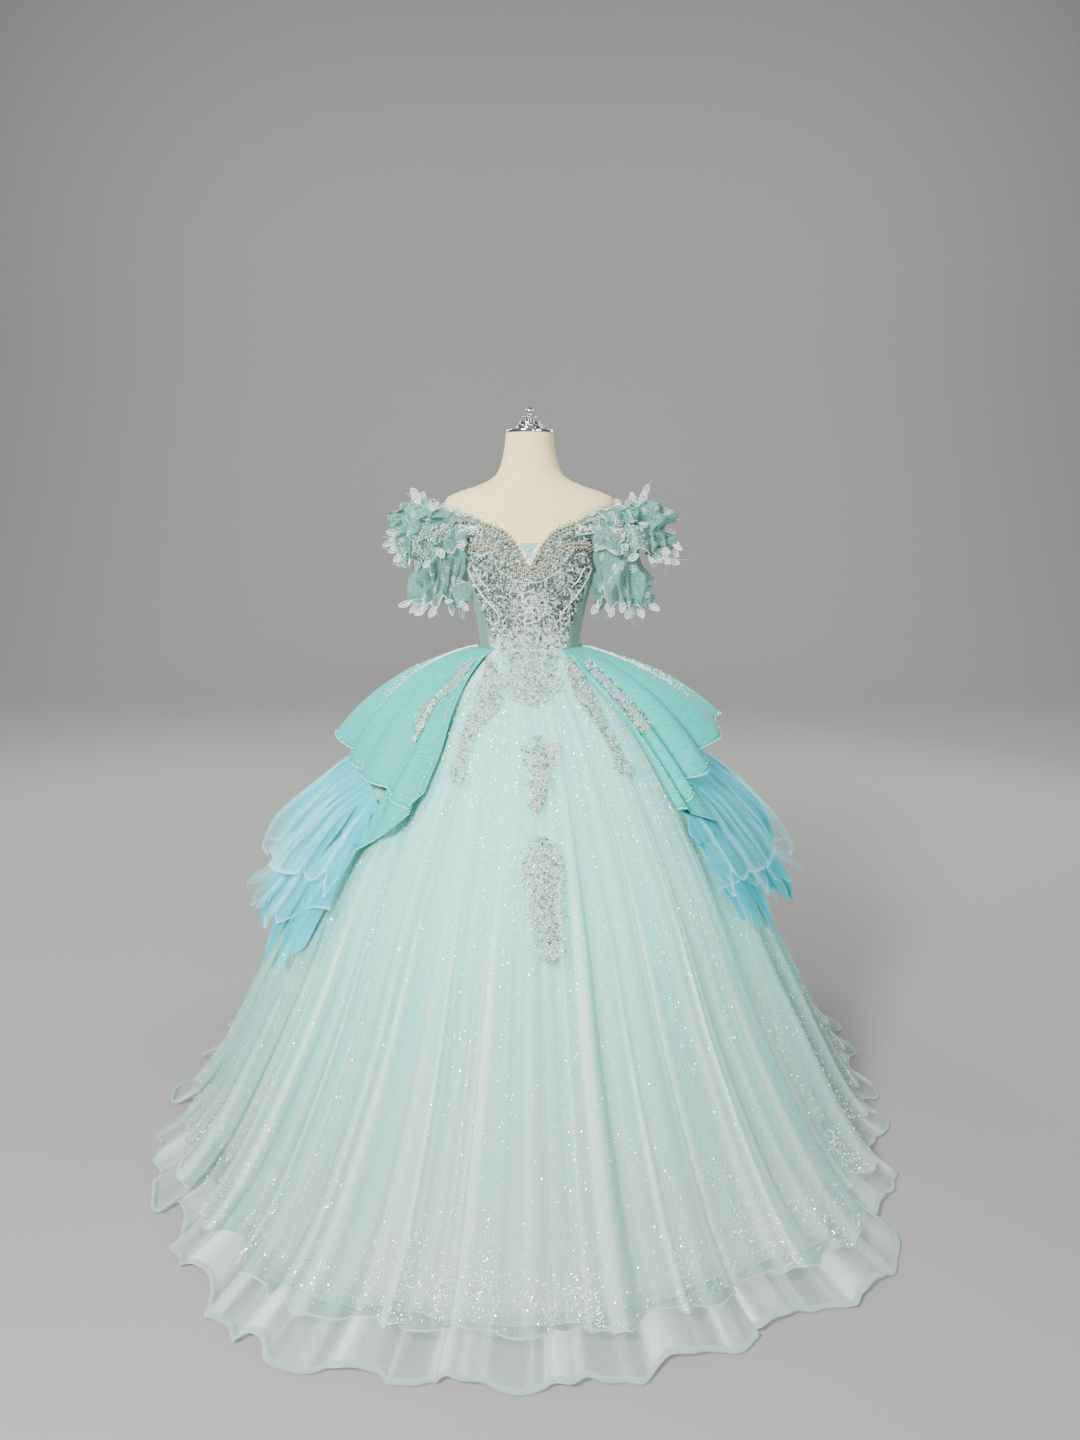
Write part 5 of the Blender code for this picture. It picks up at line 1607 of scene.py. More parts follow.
# ------------------------------------------------------------------------------ sleeves
@dataclass
class Sleeves:
    """The off-shoulder sleeves: band, ruffle and fall in lace."""

    columns: int = 200
    ruffle_rows: int = 29
    fall_rows: int = 25
    end_slant: float = 13.0
    fall_start: float = 57.0
    fall_turn: float = 66.0
    curl_turn: float = 148.0
    curl_x: float = 0.207
    curl_wide: float = 0.057
    curl_deep: float = 0.062
    curl_height: float = 1.208

    def band_radius(self, turn: Array) -> Array:
        """Radius of the shoulder band's outer face.

        Args:
            turn: turns on the wearer's left.

        Returns:
            The radii.
        """
        top = SLEEVE_TOP_CURVE(turn)
        hug = np.maximum.reduce([bodice_radius(turn, top - SLEEVE_BAND * s) for s in (0, 0.5, 1)])
        share = np.clip((turn - SLEEVE_START) / (SLEEVE_END - SLEEVE_START), 0.0, 1.0)
        stand = SLEEVE_STAND * np.maximum(np.sin(math.pi * share), 0.0) ** 1.3
        return hug + LAYER + NET + stand

    def band(self, turn: Array, share: Array) -> Array:
        """The band's outer face at turns on the wearer's left."""
        return place(turn, self.band_radius(turn), SLEEVE_TOP_CURVE(turn) - SLEEVE_BAND * share)

    def ruffle(self, side: str, share: Array, step: Array, layer: float) -> Array:
        """The ruffle's face over shares along the band and steps down the frill table.

        Args:
            side: left or right.
            share: shares along the band.
            step: steps down the frill table.
            layer: 0 for the ruffle, 1 for the frill over it.

        Returns:
            The points, on the wearer's left.
        """
        first, last = SLEEVE_START + 1.5, SLEEVE_END - 1.5
        turn = first + (last - first) * share
        frill = curves(TOP_FRILL if layer else FRILL)
        taper = 0.16 + 0.84 * np.maximum(np.sin(math.pi * np.clip(share, 0.0, 1.0)), 0.0) ** 0.8
        phase = 2.0 * math.pi * RUFFLE_WAVES * share
        reach = FRILL[1].reach
        seed = 90 + (5 if side == "left" else 0) + int(10 * layer)
        spread = FRILL_SPREAD[side] * (1.0 - 0.10 * layer)
        radius = self.band_radius(turn) + reach + (frill.reach(step) - reach) * taper * spread
        lumps = lumpy(share * 10.0 + 7.0 * layer, step * 1.1, seed + 3)
        small = lumpy(share * 27.0, step * 2.6 + 3.0 * layer, seed + 5)
        crush = 1.5 * lumps + 1.2 * small + 0.35 * ripple(share * 360.0, seed, 10, 22)
        wave = frill.wave(step)
        radius = radius + wave * taper * (
            0.5 * np.cos(phase + 1.6 * layer + 2.2 * lumps) + 1.15 * crush)
        radius = np.maximum(radius, self.band_radius(turn) + 0.8 * reach)
        drop = frill.drop(step)
        height = SLEEVE_TOP_CURVE(turn) - drop * (0.28 + 0.72 * taper)
        height = height + wave * taper * (0.6 * ripple(share * 360.0, seed + 2, 8, 20)
                                          + 1.6 * patchy(share * 12.0, step * 1.2, seed + 4) - 0.4)
        edge = np.maximum(step - 3.0, 0.0) - 0.5 * (1.0 - layer) * np.maximum(1.0 - step, 0.0)
        height = height + LEAF_DEPTH * edge * np.cos(24.0 * math.pi * share)
        turn = turn + np.degrees(wave * taper * 0.8 * np.sin(2.0 * phase) / radius)
        turn = turn + self.end_slant * np.maximum(1.0 - share, 0.0) ** 7 * step / 4.0
        return place(turn, radius, height)

    def fall(self, side: str, run: Array, share: Array) -> Array:
        """The lower flounce, from the band's lower edge to a curl round the arm's place.

        Args:
            side: left or right.
            run: runs along its upper edge.
            share: shares downwards.

        Returns:
            The points, on the wearer's left.
        """
        turn = self.fall_start + self.fall_turn * run
        top = self.band(turn, np.ones_like(turn))
        wrap = np.radians(2.0 * self.curl_turn * run - self.curl_turn)
        seed = 130 if side == "left" else 140
        lumps = lumpy(run * 12.0, share * 3.4, seed + 3)
        small = lumpy(run * 28.0, share * 8.0, seed + 4)
        crush = 1.9 * lumps + 1.3 * small + 0.4 * ripple(run * 360.0, seed, 12, 26)
        wave = 1.0 + ease(share * 1.6) * 0.010 / self.curl_wide * (
            0.6 * np.cos(2.0 * math.pi * RUFFLE_WAVES * run + 2.0 * lumps) + 1.5 * crush)
        curl_x = self.curl_x + self.curl_wide * wave * np.cos(wrap)
        curl_y = 0.002 + self.curl_deep * wave * np.sin(wrap)
        mix = ease(share)
        start = top[..., 2] - 0.0009
        height = start + (self.curl_height - start) * share
        height = height + LEAF_DEPTH * share ** 2 * np.cos(24.0 * math.pi * run)
        height = height + 0.006 * share * (ripple(run * 360.0, seed + 2, 6, 14) + 1.5 * small)
        return np.stack((top[..., 0] + (curl_x - top[..., 0]) * mix,
                         top[..., 1] + (curl_y - top[..., 1]) * mix, height), axis=-1)

    def lace(self, name: str, side: str, points: Array, nodes: Sequence[str]) -> None:
        """A piece of lace sewn to the band, which covers alike all over."""
        cloth(name + side, points, SLEEVE_NET, nodes, "gathered", ["sleeve_band_cloth_" + side],
              density_and_painted_light=np.zeros(points.shape[:2]))

    def build(self) -> None:
        """Build both sleeves."""
        for side, sign in SIDES.items():

            def handed(points: Array) -> Array:
                """Points put on this side, with columns that still run towards +X."""
                return (points if sign > 0 else points[::-1]) * np.array([sign, 1.0, 1.0])

            turns = np.linspace(SLEEVE_START, SLEEVE_END, 61)[:, None]
            points = handed(self.band(turns, np.linspace(0.0, 1.0, 5)[None]))
            cloth("sleeve_band_cloth_" + side, points, SATIN, ["sleeve_band_" + side],
                  "stretched", ["bodice_cloth_side_" + side])
            shares = np.linspace(0.0, 1.0, self.columns + 1)[:, None]
            steps = np.linspace(0.0, 4.0, self.ruffle_rows)[None]
            for layer, label, nodes in ((0.0, "sleeve_ruffle_cloth_", ["sleeve_ruffle_" + side]),
                                        (1.0, "sleeve_frill_cloth_", [])):
                points = self.ruffle(side, *np.broadcast_arrays(shares, steps), layer)
                self.lace(label, side, handed(points), nodes)
            down = np.linspace(0.0, 1.0, self.fall_rows)[None]
            points = self.fall(side, *np.broadcast_arrays(shares, down))
            self.lace("sleeve_fall_cloth_", side, handed(points), ["sleeve_fall_" + side])


# ------------------------------------------------------------------------------ beadwork
def glass_ball() -> Template:
    """A round bead with twenty facets."""
    return Template.from_primitive(
        lambda: bpy.ops.mesh.primitive_ico_sphere_add(subdivisions=1, radius=1.0))


def cut_bead() -> Template:
    """A cut bead with twelve facets."""
    return Template.from_primitive(
        lambda: bpy.ops.mesh.primitive_uv_sphere_add(segments=4, ring_count=2, radius=1.0))


def pearl_ball() -> Template:
    """A smooth pearl."""
    return Template.from_primitive(
        lambda: bpy.ops.mesh.primitive_uv_sphere_add(segments=8, ring_count=5, radius=1.0))


def flat_stone() -> Template:
    """A very small stone with four facets and a flat back."""
    return Template.from_primitive(
        lambda: bpy.ops.mesh.primitive_cone_add(vertices=4, radius1=1.2, depth=1.5))


def flake() -> Template:
    """A three-cornered glitter flake."""
    return Template.from_primitive(
        lambda: bpy.ops.mesh.primitive_circle_add(vertices=3, radius=1.0, fill_type="NGON"))


@dataclass(frozen=True)
class BeadRow:
    """A kind of small bead: the draws that give it, its rise over the cloth and its look."""

    kind: str
    low: float
    high: float
    rise: float
    finish: Finish
    shape: Callable[[], Template]


PEACH_DRAW = 1.5              # above the draws of the other kinds, which end at 1
BEADS = rows_of(
    BeadRow, ("dark", 0.0, 0.34, 0.5, DARK_BEAD, cut_bead),
    ("aqua", 0.34, 0.46, 0.55, SEQUIN, cut_bead), ("silver", 0.46, 0.66, 0.7, SILVER_BEAD, glass_ball),
    ("crystal", 0.66, 1.0, 0.9, CRYSTAL_PAINTED_GLINT, cut_bead), ("peach", 1.0, 2.0, 0.55, PEACH, cut_bead))


def sewn(name: str, points: Array, out: Array, pitch: float, seed: int,
         peach: float | Array = 0.04, bright: float | Array = 0.0) -> None:
    """Sew a mixed crowd of small beads at points.

    Args:
        name: the start of the pieces' names.
        points: where the beads sit on the cloth.
        out: the cloth's outward normals there.
        pitch: mean distance between beads.
        seed: for the mix of kinds and sizes.
        peach: the share of peach sequins.
        bright: how far the mix leans to clear crystals.
    """
    random = np.random.default_rng(seed)
    patch = 0.0052
    light = patchy(points[:, 0] / patch + 9.0, points[:, 2] / patch, seed + 2)
    mix = 0.62 * random.random(len(points)) + 0.80 * (light - 0.5) + 0.19
    draw = np.clip(mix + bright, 0.0, 0.999)
    sizes = pitch * random.uniform(0.42, 0.64, len(points))
    draw[random.random(len(points)) < peach] = PEACH_DRAW
    for row in BEADS:
        chosen = (draw >= row.low) & (draw < row.high)
        if chosen.any():
            rise = (sizes[chosen] * row.rise + 0.0002)[:, None]
            copies(name + "_" + row.kind, row.shape(), row.finish, points[chosen] + out[chosen] * rise,
                   out[chosen], sizes[chosen], seed + 1, tilt=0.5)


def spaced(path: Array, pitch: float) -> Array:
    """Points at equal distances along a path.

    Args:
        path: the path's points.
        pitch: the distance.

    Returns:
        The spaced points.
    """
    run = travelled(gaps(path))
    at = np.linspace(0.0, run[-1], max(int(run[-1] / pitch), 1) + 1)
    return np.stack([np.interp(at, run, path[:, i]) for i in range(path.shape[1])], axis=1)


@dataclass
class BodiceBeads:
    """Pearls, cords and dense beads on the bodice's front."""

    pitch: float = 0.0029
    pearl: float = 0.0036
    pearl_gap: float = 0.0034
    crystals: int = 260
    ring: float = 0.036
    ring_height: float = 1.212
    petals: int = 6
    cord: float = 0.00052
    loop_turn: float = 3.5
    edge: tuple = ((1.11, 52.0), (1.16, 55.0), (1.22, 60.0), (1.27, 67.0), (1.40, 68.0))
    scrolls: tuple = (
        ((0, 1.268), (12, 1.271), (22, 1.283), (31, 1.300)),
        ((56, 1.300), (50, 1.272), (44, 1.256)),
        ((67, 1.296), (60, 1.264), (52, 1.236), (43, 1.212), (38, 1.196), (38, 1.180), (44, 1.172),
         (50, 1.180), (48, 1.192)),
        ((24, 1.196), (30, 1.186), (34, 1.172), (30, 1.160)),
        ((0, 1.160), (7, 1.150), (12, 1.136), (9, 1.122)),
        ((30, 1.150), (38, 1.142), (42, 1.126)),
    )

    def outward(self, turn: Array, height: Array) -> Array:
        """The bodice's outward normals."""
        return normals(lambda u, v: bodice_point(u, -v), turn, -height, 0.5, 0.002)

    def field(self) -> None:
        """The crowd of small beads."""
        random = np.random.default_rng(11)
        edge = Curve(*zip(*self.edge))
        heights = np.arange(WAIST + 0.002, 1.398, self.pitch)
        turns = np.arange(-70.0, 70.0, math.degrees(self.pitch / 0.128))
        u, v = np.meshgrid(turns, heights, indexing="ij")
        u = u + random.uniform(-0.65, 0.65, u.shape)
        v = v + random.uniform(-0.0013, 0.0013, v.shape)
        u, v = u.ravel(), v.ravel()
        ragged = edge(v) + 2.5 * ripple(v * 3000.0, 12, 3, 9)
        keep = (np.abs(u) < ragged) & (v < NECKLINE_CURVE(np.abs(u)) - 0.003)
        gap = bell(np.abs(u), 13.0, 3.5) * bell(v, 1.116, 0.008)
        keep &= (gap < 0.35) & (random.random(len(u)) < 0.96)
        for line, inset in PEARL_ROWS:
            keep &= np.abs(v - line(np.abs(u)) + inset) > self.pearl_gap
        u, v = u[keep], v[keep]
        bright = (0.20 * bell(u, 0.0, 18.0) * bell(v, 1.205, 0.055)
                  + 0.20 * ease((1.185 - v) / 0.07) - 0.12)
        sewn("bodice_beads", bodice_point(u, v), self.outward(u, v), self.pitch, 13, bright=bright)

    def pearls(self) -> None:
        """Two double rows of pearls, with a crystal between each pair."""
        centres, out, small, small_out = [], [], [], []
        for line, inset in PEARL_ROWS:
            turns = np.linspace(-65.0, 65.0, 800)
            run = travelled(gaps(bodice_point(turns, line(np.abs(turns)) - inset)))
            at = np.interp(np.arange(0.0, run[-1], 2.75 * self.pearl), run, turns)
            height = line(np.abs(at)) - inset
            centres.append(bodice_point(at, height))
            out.append(self.outward(at, height))
            between = at[:-1] + np.diff(at) / 2.0
            for fall in (0.0, 0.0042):
                level = line(np.abs(between)) - inset - fall
                small.append(bodice_point(between, level))
                small_out.append(self.outward(between, level))
        centres, out = np.concatenate(centres), np.concatenate(out)
        half = len(centres) // 2
        for name, part in (("upper", slice(None, half)), ("lower", slice(half, None))):
            copies("pearls_" + name, pearl_ball(), PEARL,
                   centres[part] + out[part] * (self.pearl * 0.75 + 0.0012), out[part], self.pearl,
                   15, smooth=True, nodes=["neckline_pearls_" + name])
        small, small_out = np.concatenate(small), np.concatenate(small_out)
        copies("pearl_crystals", cut_bead(), CRYSTAL_PAINTED_GLINT, small + small_out * 0.0030, small_out, 0.0015,
               16, tilt=0.4)

    def insert_crystals(self) -> None:
        """Crystals that crowd along both edges of the V insert."""
        random = np.random.default_rng(19)
        count = self.crystals
        height = random.uniform(1.306, 1.352, count)
        rows = NECKLINE[:4]
        edge = np.interp(height, [row.height for row in rows], [row.turn for row in rows])
        turn = (edge - 0.4 - 4.6 * random.random(count) ** 1.6) * random.choice((-1.0, 1.0), count)
        centres = place(turn, body_radius(turn, height) + 0.0050, height)
        copies("insert_crystals", cut_bead(), CRYSTAL_PAINTED_GLINT, centres, place(turn, 1.0, 0.0),
               random.uniform(0.0011, 0.0019, count), 20, tilt=0.4)

    def rosette(self) -> list[Array]:
        """The corded ring and its petals, as turns and heights."""
        radius = float(bodice_radius(np.array(0.0), np.array(self.ring_height))) + 0.006

        def drawn(across: Array, up: Array) -> Array:
            """Flat offsets from the ring's middle as turns and heights."""
            return np.stack((np.degrees(np.arcsin(across / radius)), self.ring_height + up), axis=1)

        angle = np.linspace(0.0, 2.0 * math.pi, 73)
        paths = [drawn(self.ring * np.cos(angle), self.ring * np.sin(angle))]
        petal = np.linspace(0.0, 1.0, 17)
        way = np.concatenate((petal, petal[::-1]))
        side = np.concatenate((np.ones(17), -np.ones(17)))
        out = self.ring * 0.74 * way
        wide = self.ring * 0.20 * np.sin(math.pi * way) ** 0.8 * side
        for k in range(self.petals):
            c, s = math.cos(k * math.pi / 3.0), math.sin(k * math.pi / 3.0)
            paths.append(drawn(wide * c - out * s, out * c + wide * s))
        return paths

    def scallops(self) -> list[Array]:
        """Loops of cord along the neckline, every third one tall."""
        share = np.linspace(0.0, 1.0, 11)
        loops = []
        for k, start in enumerate(np.arange(-63.0, 63.0, self.loop_turn)):
            if abs(start + self.loop_turn / 2.0) < 9.0:
                continue
            turns = start + self.loop_turn * share
            tall = 0.0120 if k % 3 == 0 else 0.0065
            height = NECKLINE_CURVE(np.abs(turns)) - 0.001 + tall * np.sin(math.pi * share) ** 0.6
            loops.append(place(turns, bodice_radius(turns, height) + 0.0012, height))
        return loops

    def cords(self) -> None:
        """White cord scrolls, the ring with its rosette, and the scalloped top edge."""
        paths = [flowing(scroll, 10) * np.array([sign, 1.0])
                 for scroll in self.scrolls for sign in (1.0, -1.0)]
        drawn = len(paths)
        lines = [bodice_point(*way.T) + 0.0032 * self.outward(*way.T)
                 for way in paths + self.rosette()]
        tubes("bodice_cords", lines[:-self.petals], self.cord, CORD)
        tubes("rosette_cords", lines[-self.petals:], 0.8 * self.cord, CORD)
        tubes("neckline_scallops", self.scallops(), 0.0010, SILVER_CORD)
        dots = np.concatenate([spaced(line, 0.0034) for line in lines[:drawn]])
        out = unit(dots * np.array([1.0, 1.0, 0.0]))
        copies("cord_crystals", cut_bead(), CRYSTAL_PAINTED_GLINT, dots + out * 0.0012, out, 0.0012, 18, tilt=0.6)

    def build(self) -> None:
        """Build the bodice's beadwork."""
        self.field()
        self.pearls()
        self.insert_crystals()
        self.cords()


@dataclass
class Motifs:
    """Beaded lace on the skirt front and the drapes, each on a net ground."""

    pitch: float = 0.0032
    rows: int = 48
    columns: int = 18
    jitter: float = 0.0014
    corded: tuple = ("waist_lace",)

    def surface(self, name: str) -> tuple[Surface, tuple, tuple, Surface | None]:
        """The cloth that a motif lies on, its ranges of search and its creased form.

        Args:
            name: the motif's name.

        Returns:
            The cloth, both ranges and the creased form, if it has one.
        """
        if name.startswith("lance_outer"):
            side = name.split("_")[-1]
            sign = SIDES[side]
            face = Drapes().surface(side, sign, 0.0)
            real = Drapes().surface(side, sign)
            return face, ((0.0, 0.46) if sign > 0 else (0.54, 1.0)), (0.03, 1.0), real
        return (lambda u, v: crest_point(u, -v)), (-62.0, 62.0), (-1.112, -0.50), None

    def build(self) -> None:
        """Build every motif's ground, beads and cord."""
        for seed, (name, table) in enumerate(MOTIFS.items(), start=200):
            line = curves(table)
            low, high = table[0].height, table[-1].height
            surface, u, v, real = self.surface(name)
            across = np.linspace(-1.0, 1.0, self.columns + 1)[:, None]
            heights = np.linspace(high, low, self.rows + 1)[None]
            x = line.x(heights) + across * line.half_width(heights) * 0.94
            grid = np.stack(np.broadcast_arrays(x, heights), axis=-1)
            points, out = projected(surface, u, v, grid.reshape(-1, 2), real)
            ground = (points + 0.0016 * out).reshape(self.columns + 1, self.rows + 1, 3)
            on_drape = name.startswith("lance_outer")
            below = "drape_cloth_" + name.split("_")[-1] if on_drape else "tulle_cloth_front"
            cloth(name + "_net", ground, LACE_NET, [name], "laid", [below],
                  density_and_painted_light=np.full(ground.shape[:2], 0.5))
            random = np.random.default_rng(seed)
            zs = np.arange(low - 0.002, high, self.pitch)
            widest = max(row.half_width for row in table)
            a, z = np.meshgrid(np.arange(-widest, widest, self.pitch), zs, indexing="ij")
            a = (a + random.uniform(-self.jitter, self.jitter, a.shape)).ravel()
            z = (z + random.uniform(-self.jitter, self.jitter, z.shape)).ravel()
            leafy = 0.98 + 0.24 * ripple(z * 6000.0 + 90.0 * np.sign(a), seed, 3, 11)
            keep = np.abs(a) < line.half_width(z) * leafy + 0.001
            keep &= random.random(len(a)) < 0.84
            wanted = np.stack((line.x(z[keep]) + a[keep], z[keep]), axis=1)
            spots, facing = projected(surface, u, v, wanted, real)
            rose = 0.05 + 0.35 * bell(np.hypot(wanted[:, 0] - 0.008, wanted[:, 1] - 1.078), 0.0, 0.018)
            lift = 0.0032 if on_drape else 0.0018
            sewn(name + "_beads", spots + lift * facing, facing, self.pitch, seed + 50, rose, 0.15)
            if name in self.corded:
                edge = np.linspace(high - 0.002, low + 0.001, 90)
                wavy = line.half_width(edge) * (0.88 + 0.08 * np.cos(edge * 2.0 * math.pi / 0.018))
                lines = []
                for sign in (-1.0, 1.0):
                    way = np.stack((line.x(edge) + sign * wavy, edge), axis=1)
                    spot, facing = projected(surface, u, v, way, real)
                    lines.append(spot + 0.0034 * facing)
                tubes(name + "_cord", lines, 0.0005, CORD)


@dataclass
class DrapeBeads:
    """A thin scatter of beads along the drapes' upper folds and hems."""

    folds: int = 620
    fronts: int = 40
    hems: int = 50

    def build(self) -> None:
        """Build the scatter on both drapes."""
        for side, sign in SIDES.items():
            face = Drapes().surface(side, sign)
            random = np.random.default_rng(300 + int(sign))
            down = 0.02 + 0.80 * random.beta(1.1, 2.6, self.folds)
            ridge = 0.425 + 0.03 * down + 0.018 * random.normal(size=self.folds)
            front = 0.020 + 0.012 * random.random(self.fronts)
            run = np.concatenate((ridge, front, random.random(self.hems) * 0.62))
            share = np.concatenate((down, random.uniform(0.05, 0.97, self.fronts),
                                    1.0 - 0.03 * random.random(self.hems)))
            run = run if sign > 0 else 1.0 - run
            out = normals(face, run, share, 0.004, 0.01)
            points = face(run, share) + 0.0006 * out
            copies("drape_beads_" + side, cut_bead(), CRYSTAL_PAINTED_GLINT, points + out * 0.0008, out,
                   random.uniform(0.0010, 0.0021, len(run)), 301, tilt=0.5)


# ------------------------------------------------------------------------------ sleeve trims
@dataclass(frozen=True)
class LeafRow:
    """A row of loose lace leaves: its cloth, how many, and where it starts and ends."""

    cloth: str
    count: int
    first_share: float
    last_share: float
    first_step: float
    last_step: float


LEAVES = rows_of(
    LeafRow, ("ruffle", 11, 0.46, 0.5, 0.0, 4.0), ("ruffle", 8, 0.4, 0.62, 3.7, 2.6),
    ("ruffle", 7, 0.1, 0.44, 3.95, 3.95), ("ruffle", 6, 0.26, 0.74, 0.1, 0.1),
    ("ruffle", 7, 0.62, 0.92, 3.95, 3.95), ("fall", 17, 0.03, 0.97, 1.0, 1.0))
LEAF_HUBS = {"ruffle": (0.240, 0.0, 1.375), "fall": (0.207, 0.0, 1.265)}
LEAF_CUP, LEAF_ROLL = 0.22, 0.12
SHARE_STEP, RUFFLE_STEP, FALL_STEP = 0.004, 0.05, 0.02    # how far apart normals are taken


@dataclass(frozen=True)
class Arm:
    """One side's sleeve: its lace, put on that side, and its own random draws."""

    side: str
    sign: float
    random: np.random.Generator

    def handed(self, points: Array) -> Array:
        """Points of the wearer's left sleeve put on this side."""
        return points * np.array([self.sign, 1.0, 1.0])

    def band(self, turn: Array, share: Array) -> Array:
        """The shoulder band."""
        return self.handed(Sleeves().band(turn, share))

    def ruffle(self, share: Array, step: Array) -> Array:
        """The ruffle."""
        return self.handed(Sleeves().ruffle(self.side, share, step, 0.0))

    def frill(self, share: Array, step: Array) -> Array:
        """The upper frill."""
        return self.handed(Sleeves().ruffle(self.side, share, step, 1.0))

    def fall(self, run: Array, share: Array) -> Array:
        """The lower flounce."""
        return self.handed(Sleeves().fall(self.side, run, share))

    def outward(self, surface: Surface, u: Array, v: Array, dv: float) -> Array:
        """Outward normals of one of this side's surfaces."""
        return normals(surface, u, v, SHARE_STEP, dv) * self.sign


def leaf_outline(count: int, widest: float) -> tuple[Array, Array]:
    """A pointed leaf's outline, two units long: across and along.

    Args:
        count: how many points each side has.
        widest: its half width.

    Returns:
        Places across and places along.
    """
    t = np.linspace(-1.0, 1.0, count)
    wide = widest * np.cos(t * math.pi / 2.0) ** 0.7
    wide[[0, -1]] = 0.0
    return np.concatenate((wide, -wide[::-1])), np.concatenate((t, t[::-1]))


@dataclass
class SleeveTrims:
    """White lace leaves, loose threads, edge beads and sequins on the sleeves."""

    leaf: float = 0.0145
    rim: float = 0.00075
    thread: float = 0.00025
    lace: float = 0.00055
    edge_beads: int = 230
    pearls: int = 34
    sequins: int = 260
    band_beads: int = 420
    dots: int = 900
    pitch: float = 0.0034
    pearl: float = 0.0034

    def leaf_shape(self) -> Template:
        """A pointed, slightly cupped leaf, two units long."""
        def add() -> None:
            """Shape a grid into a leaf."""
            bpy.ops.mesh.primitive_grid_add(x_subdivisions=4, y_subdivisions=8, size=2.0)
            for vertex in bpy.context.object.data.vertices:
                x, y, _ = vertex.co
                vertex.co = (0.5 * x * math.cos(y * math.pi / 2.0) ** 0.7 if abs(y) < 0.999 else 0.0,
                             y, LEAF_CUP * y * y + LEAF_ROLL * x * x)
        return Template.from_primitive(add)

    def rim_paths(self, centres: Array, x: Array, y: Array, z: Array) -> list[Array]:
        """The corded outline and vein of each leaf.

        Args:
            centres: the leaves' middles.
            x: their directions across.
            y: along.
            z: and outwards.

        Returns:
            The paths.
        """
        across, along = leaf_outline(13, 0.5)
        up = (LEAF_CUP * along ** 2 + LEAF_ROLL * (across / 0.5) ** 2 + 0.05)[:, None]
        vein = np.linspace(-1.1, 0.9, 7)[:, None]
        paths = []
        for c, ax, ay, az in zip(centres, x, y, z):
            paths.append(c + self.leaf * (across[:, None] * ax + along[:, None] * ay + up * az))
            paths.append(c + self.leaf * (vein * ay + (LEAF_CUP * vein ** 2 + 0.05) * az))
        return paths

    def lace_paths(self, surface: Surface, shares: Array, steps: Array,
                   reach: tuple[float, float], sign: float, seed: int) -> list[Array]:
        """Corded outlines and veins of leaves that lie on the cloth.

        Args:
            surface: the cloth, over shares round it and steps down it.
            shares: each leaf's middle in the first direction.
            steps: its middle in the second.
            reach: the steps between which the leaves stay.
            sign: 1 on the wearer's left, -1 on the right.
            seed: for the leaves' turns and sizes.

        Returns:
            The paths.
        """
        random = np.random.default_rng(seed)
        down = 0.02 * (reach[1] - reach[0])
        scale = []
        for du, dv in ((SHARE_STEP, 0.0), (0.0, down)):
            gap = surface(shares + du, steps + dv) - surface(shares - du, steps - dv)
            scale.append(np.linalg.norm(gap, axis=1) / (2.0 * (du + dv)))
        across, along = leaf_outline(9, 0.45)
        turn = random.uniform(0.0, math.pi, len(shares))[:, None]
        size = self.leaf * random.uniform(0.55, 0.85, len(shares))[:, None]
        paths = []
        for a, b in ((along, across), (np.linspace(-0.9, 0.8, 5), np.zeros(5))):
            u = shares[:, None] + size * (a * np.cos(turn) - b * np.sin(turn)) / scale[0][:, None]
            v = steps[:, None] + size * (a * np.sin(turn) + b * np.cos(turn)) / scale[1][:, None]
            u, v = np.clip(u, 0.01, 0.99), np.clip(v, *reach)
            paths.extend(surface(u, v) + 0.0011 * sign * normals(surface, u, v, SHARE_STEP, down))
        return paths

    def leaves(self, arm: Arm) -> None:
        """Loose leaves that stand off the ruffle and the fall, with their rims and threads.

        Args:
            arm: the side's sleeve.
        """
        random, surfaces = arm.random, {"ruffle": arm.ruffle, "fall": arm.fall}
        spots, ways = [], []
        for row in LEAVES:
            shares = np.linspace(row.first_share, row.last_share, row.count)
            shares = shares + random.uniform(-0.012, 0.012, row.count)
            at = surfaces[row.cloth](shares, np.linspace(row.first_step, row.last_step, row.count))
            way = unit(at - arm.handed(np.array(LEAF_HUBS[row.cloth])))
            way += 0.30 * random.normal(size=way.shape)
            way[:, 1] = 0.4 * way[:, 1] - 0.15
            way = unit(way)
            spots.append(at + way * self.leaf * 0.55)
            ways.append(way)
        centres, y = np.concatenate(spots), np.concatenate(ways)
        z = np.array([0.10 * arm.sign, -1.0, 0.15]) + 0.30 * random.normal(size=y.shape)
        z = unit(z - (z * y).sum(axis=1, keepdims=True) * y)
        copies("sleeve_leaves_" + arm.side, self.leaf_shape(), LEAF_NET, centres, z, self.leaf, 402,
               smooth=True, heading=y)
        rims = self.rim_paths(centres, np.cross(y, z), y, z)
        tubes("sleeve_leaf_cords_" + arm.side, rims, self.rim, LEAF, 4)
        t = np.linspace(0.0, 1.0, 6)[:, None]
        sag = np.array([0.0, 0.0, -0.006]) * t ** 2
        threads = []
        for c, way in zip(centres, y):
            aim = way + 0.6 * random.normal(size=3)
            length = random.uniform(0.010, 0.024)
            threads.append(c + aim * length * t + sag + 0.002 * random.normal(size=3) * t ** 2)
        tubes("sleeve_threads_" + arm.side, threads, self.thread, LEAF, 3)

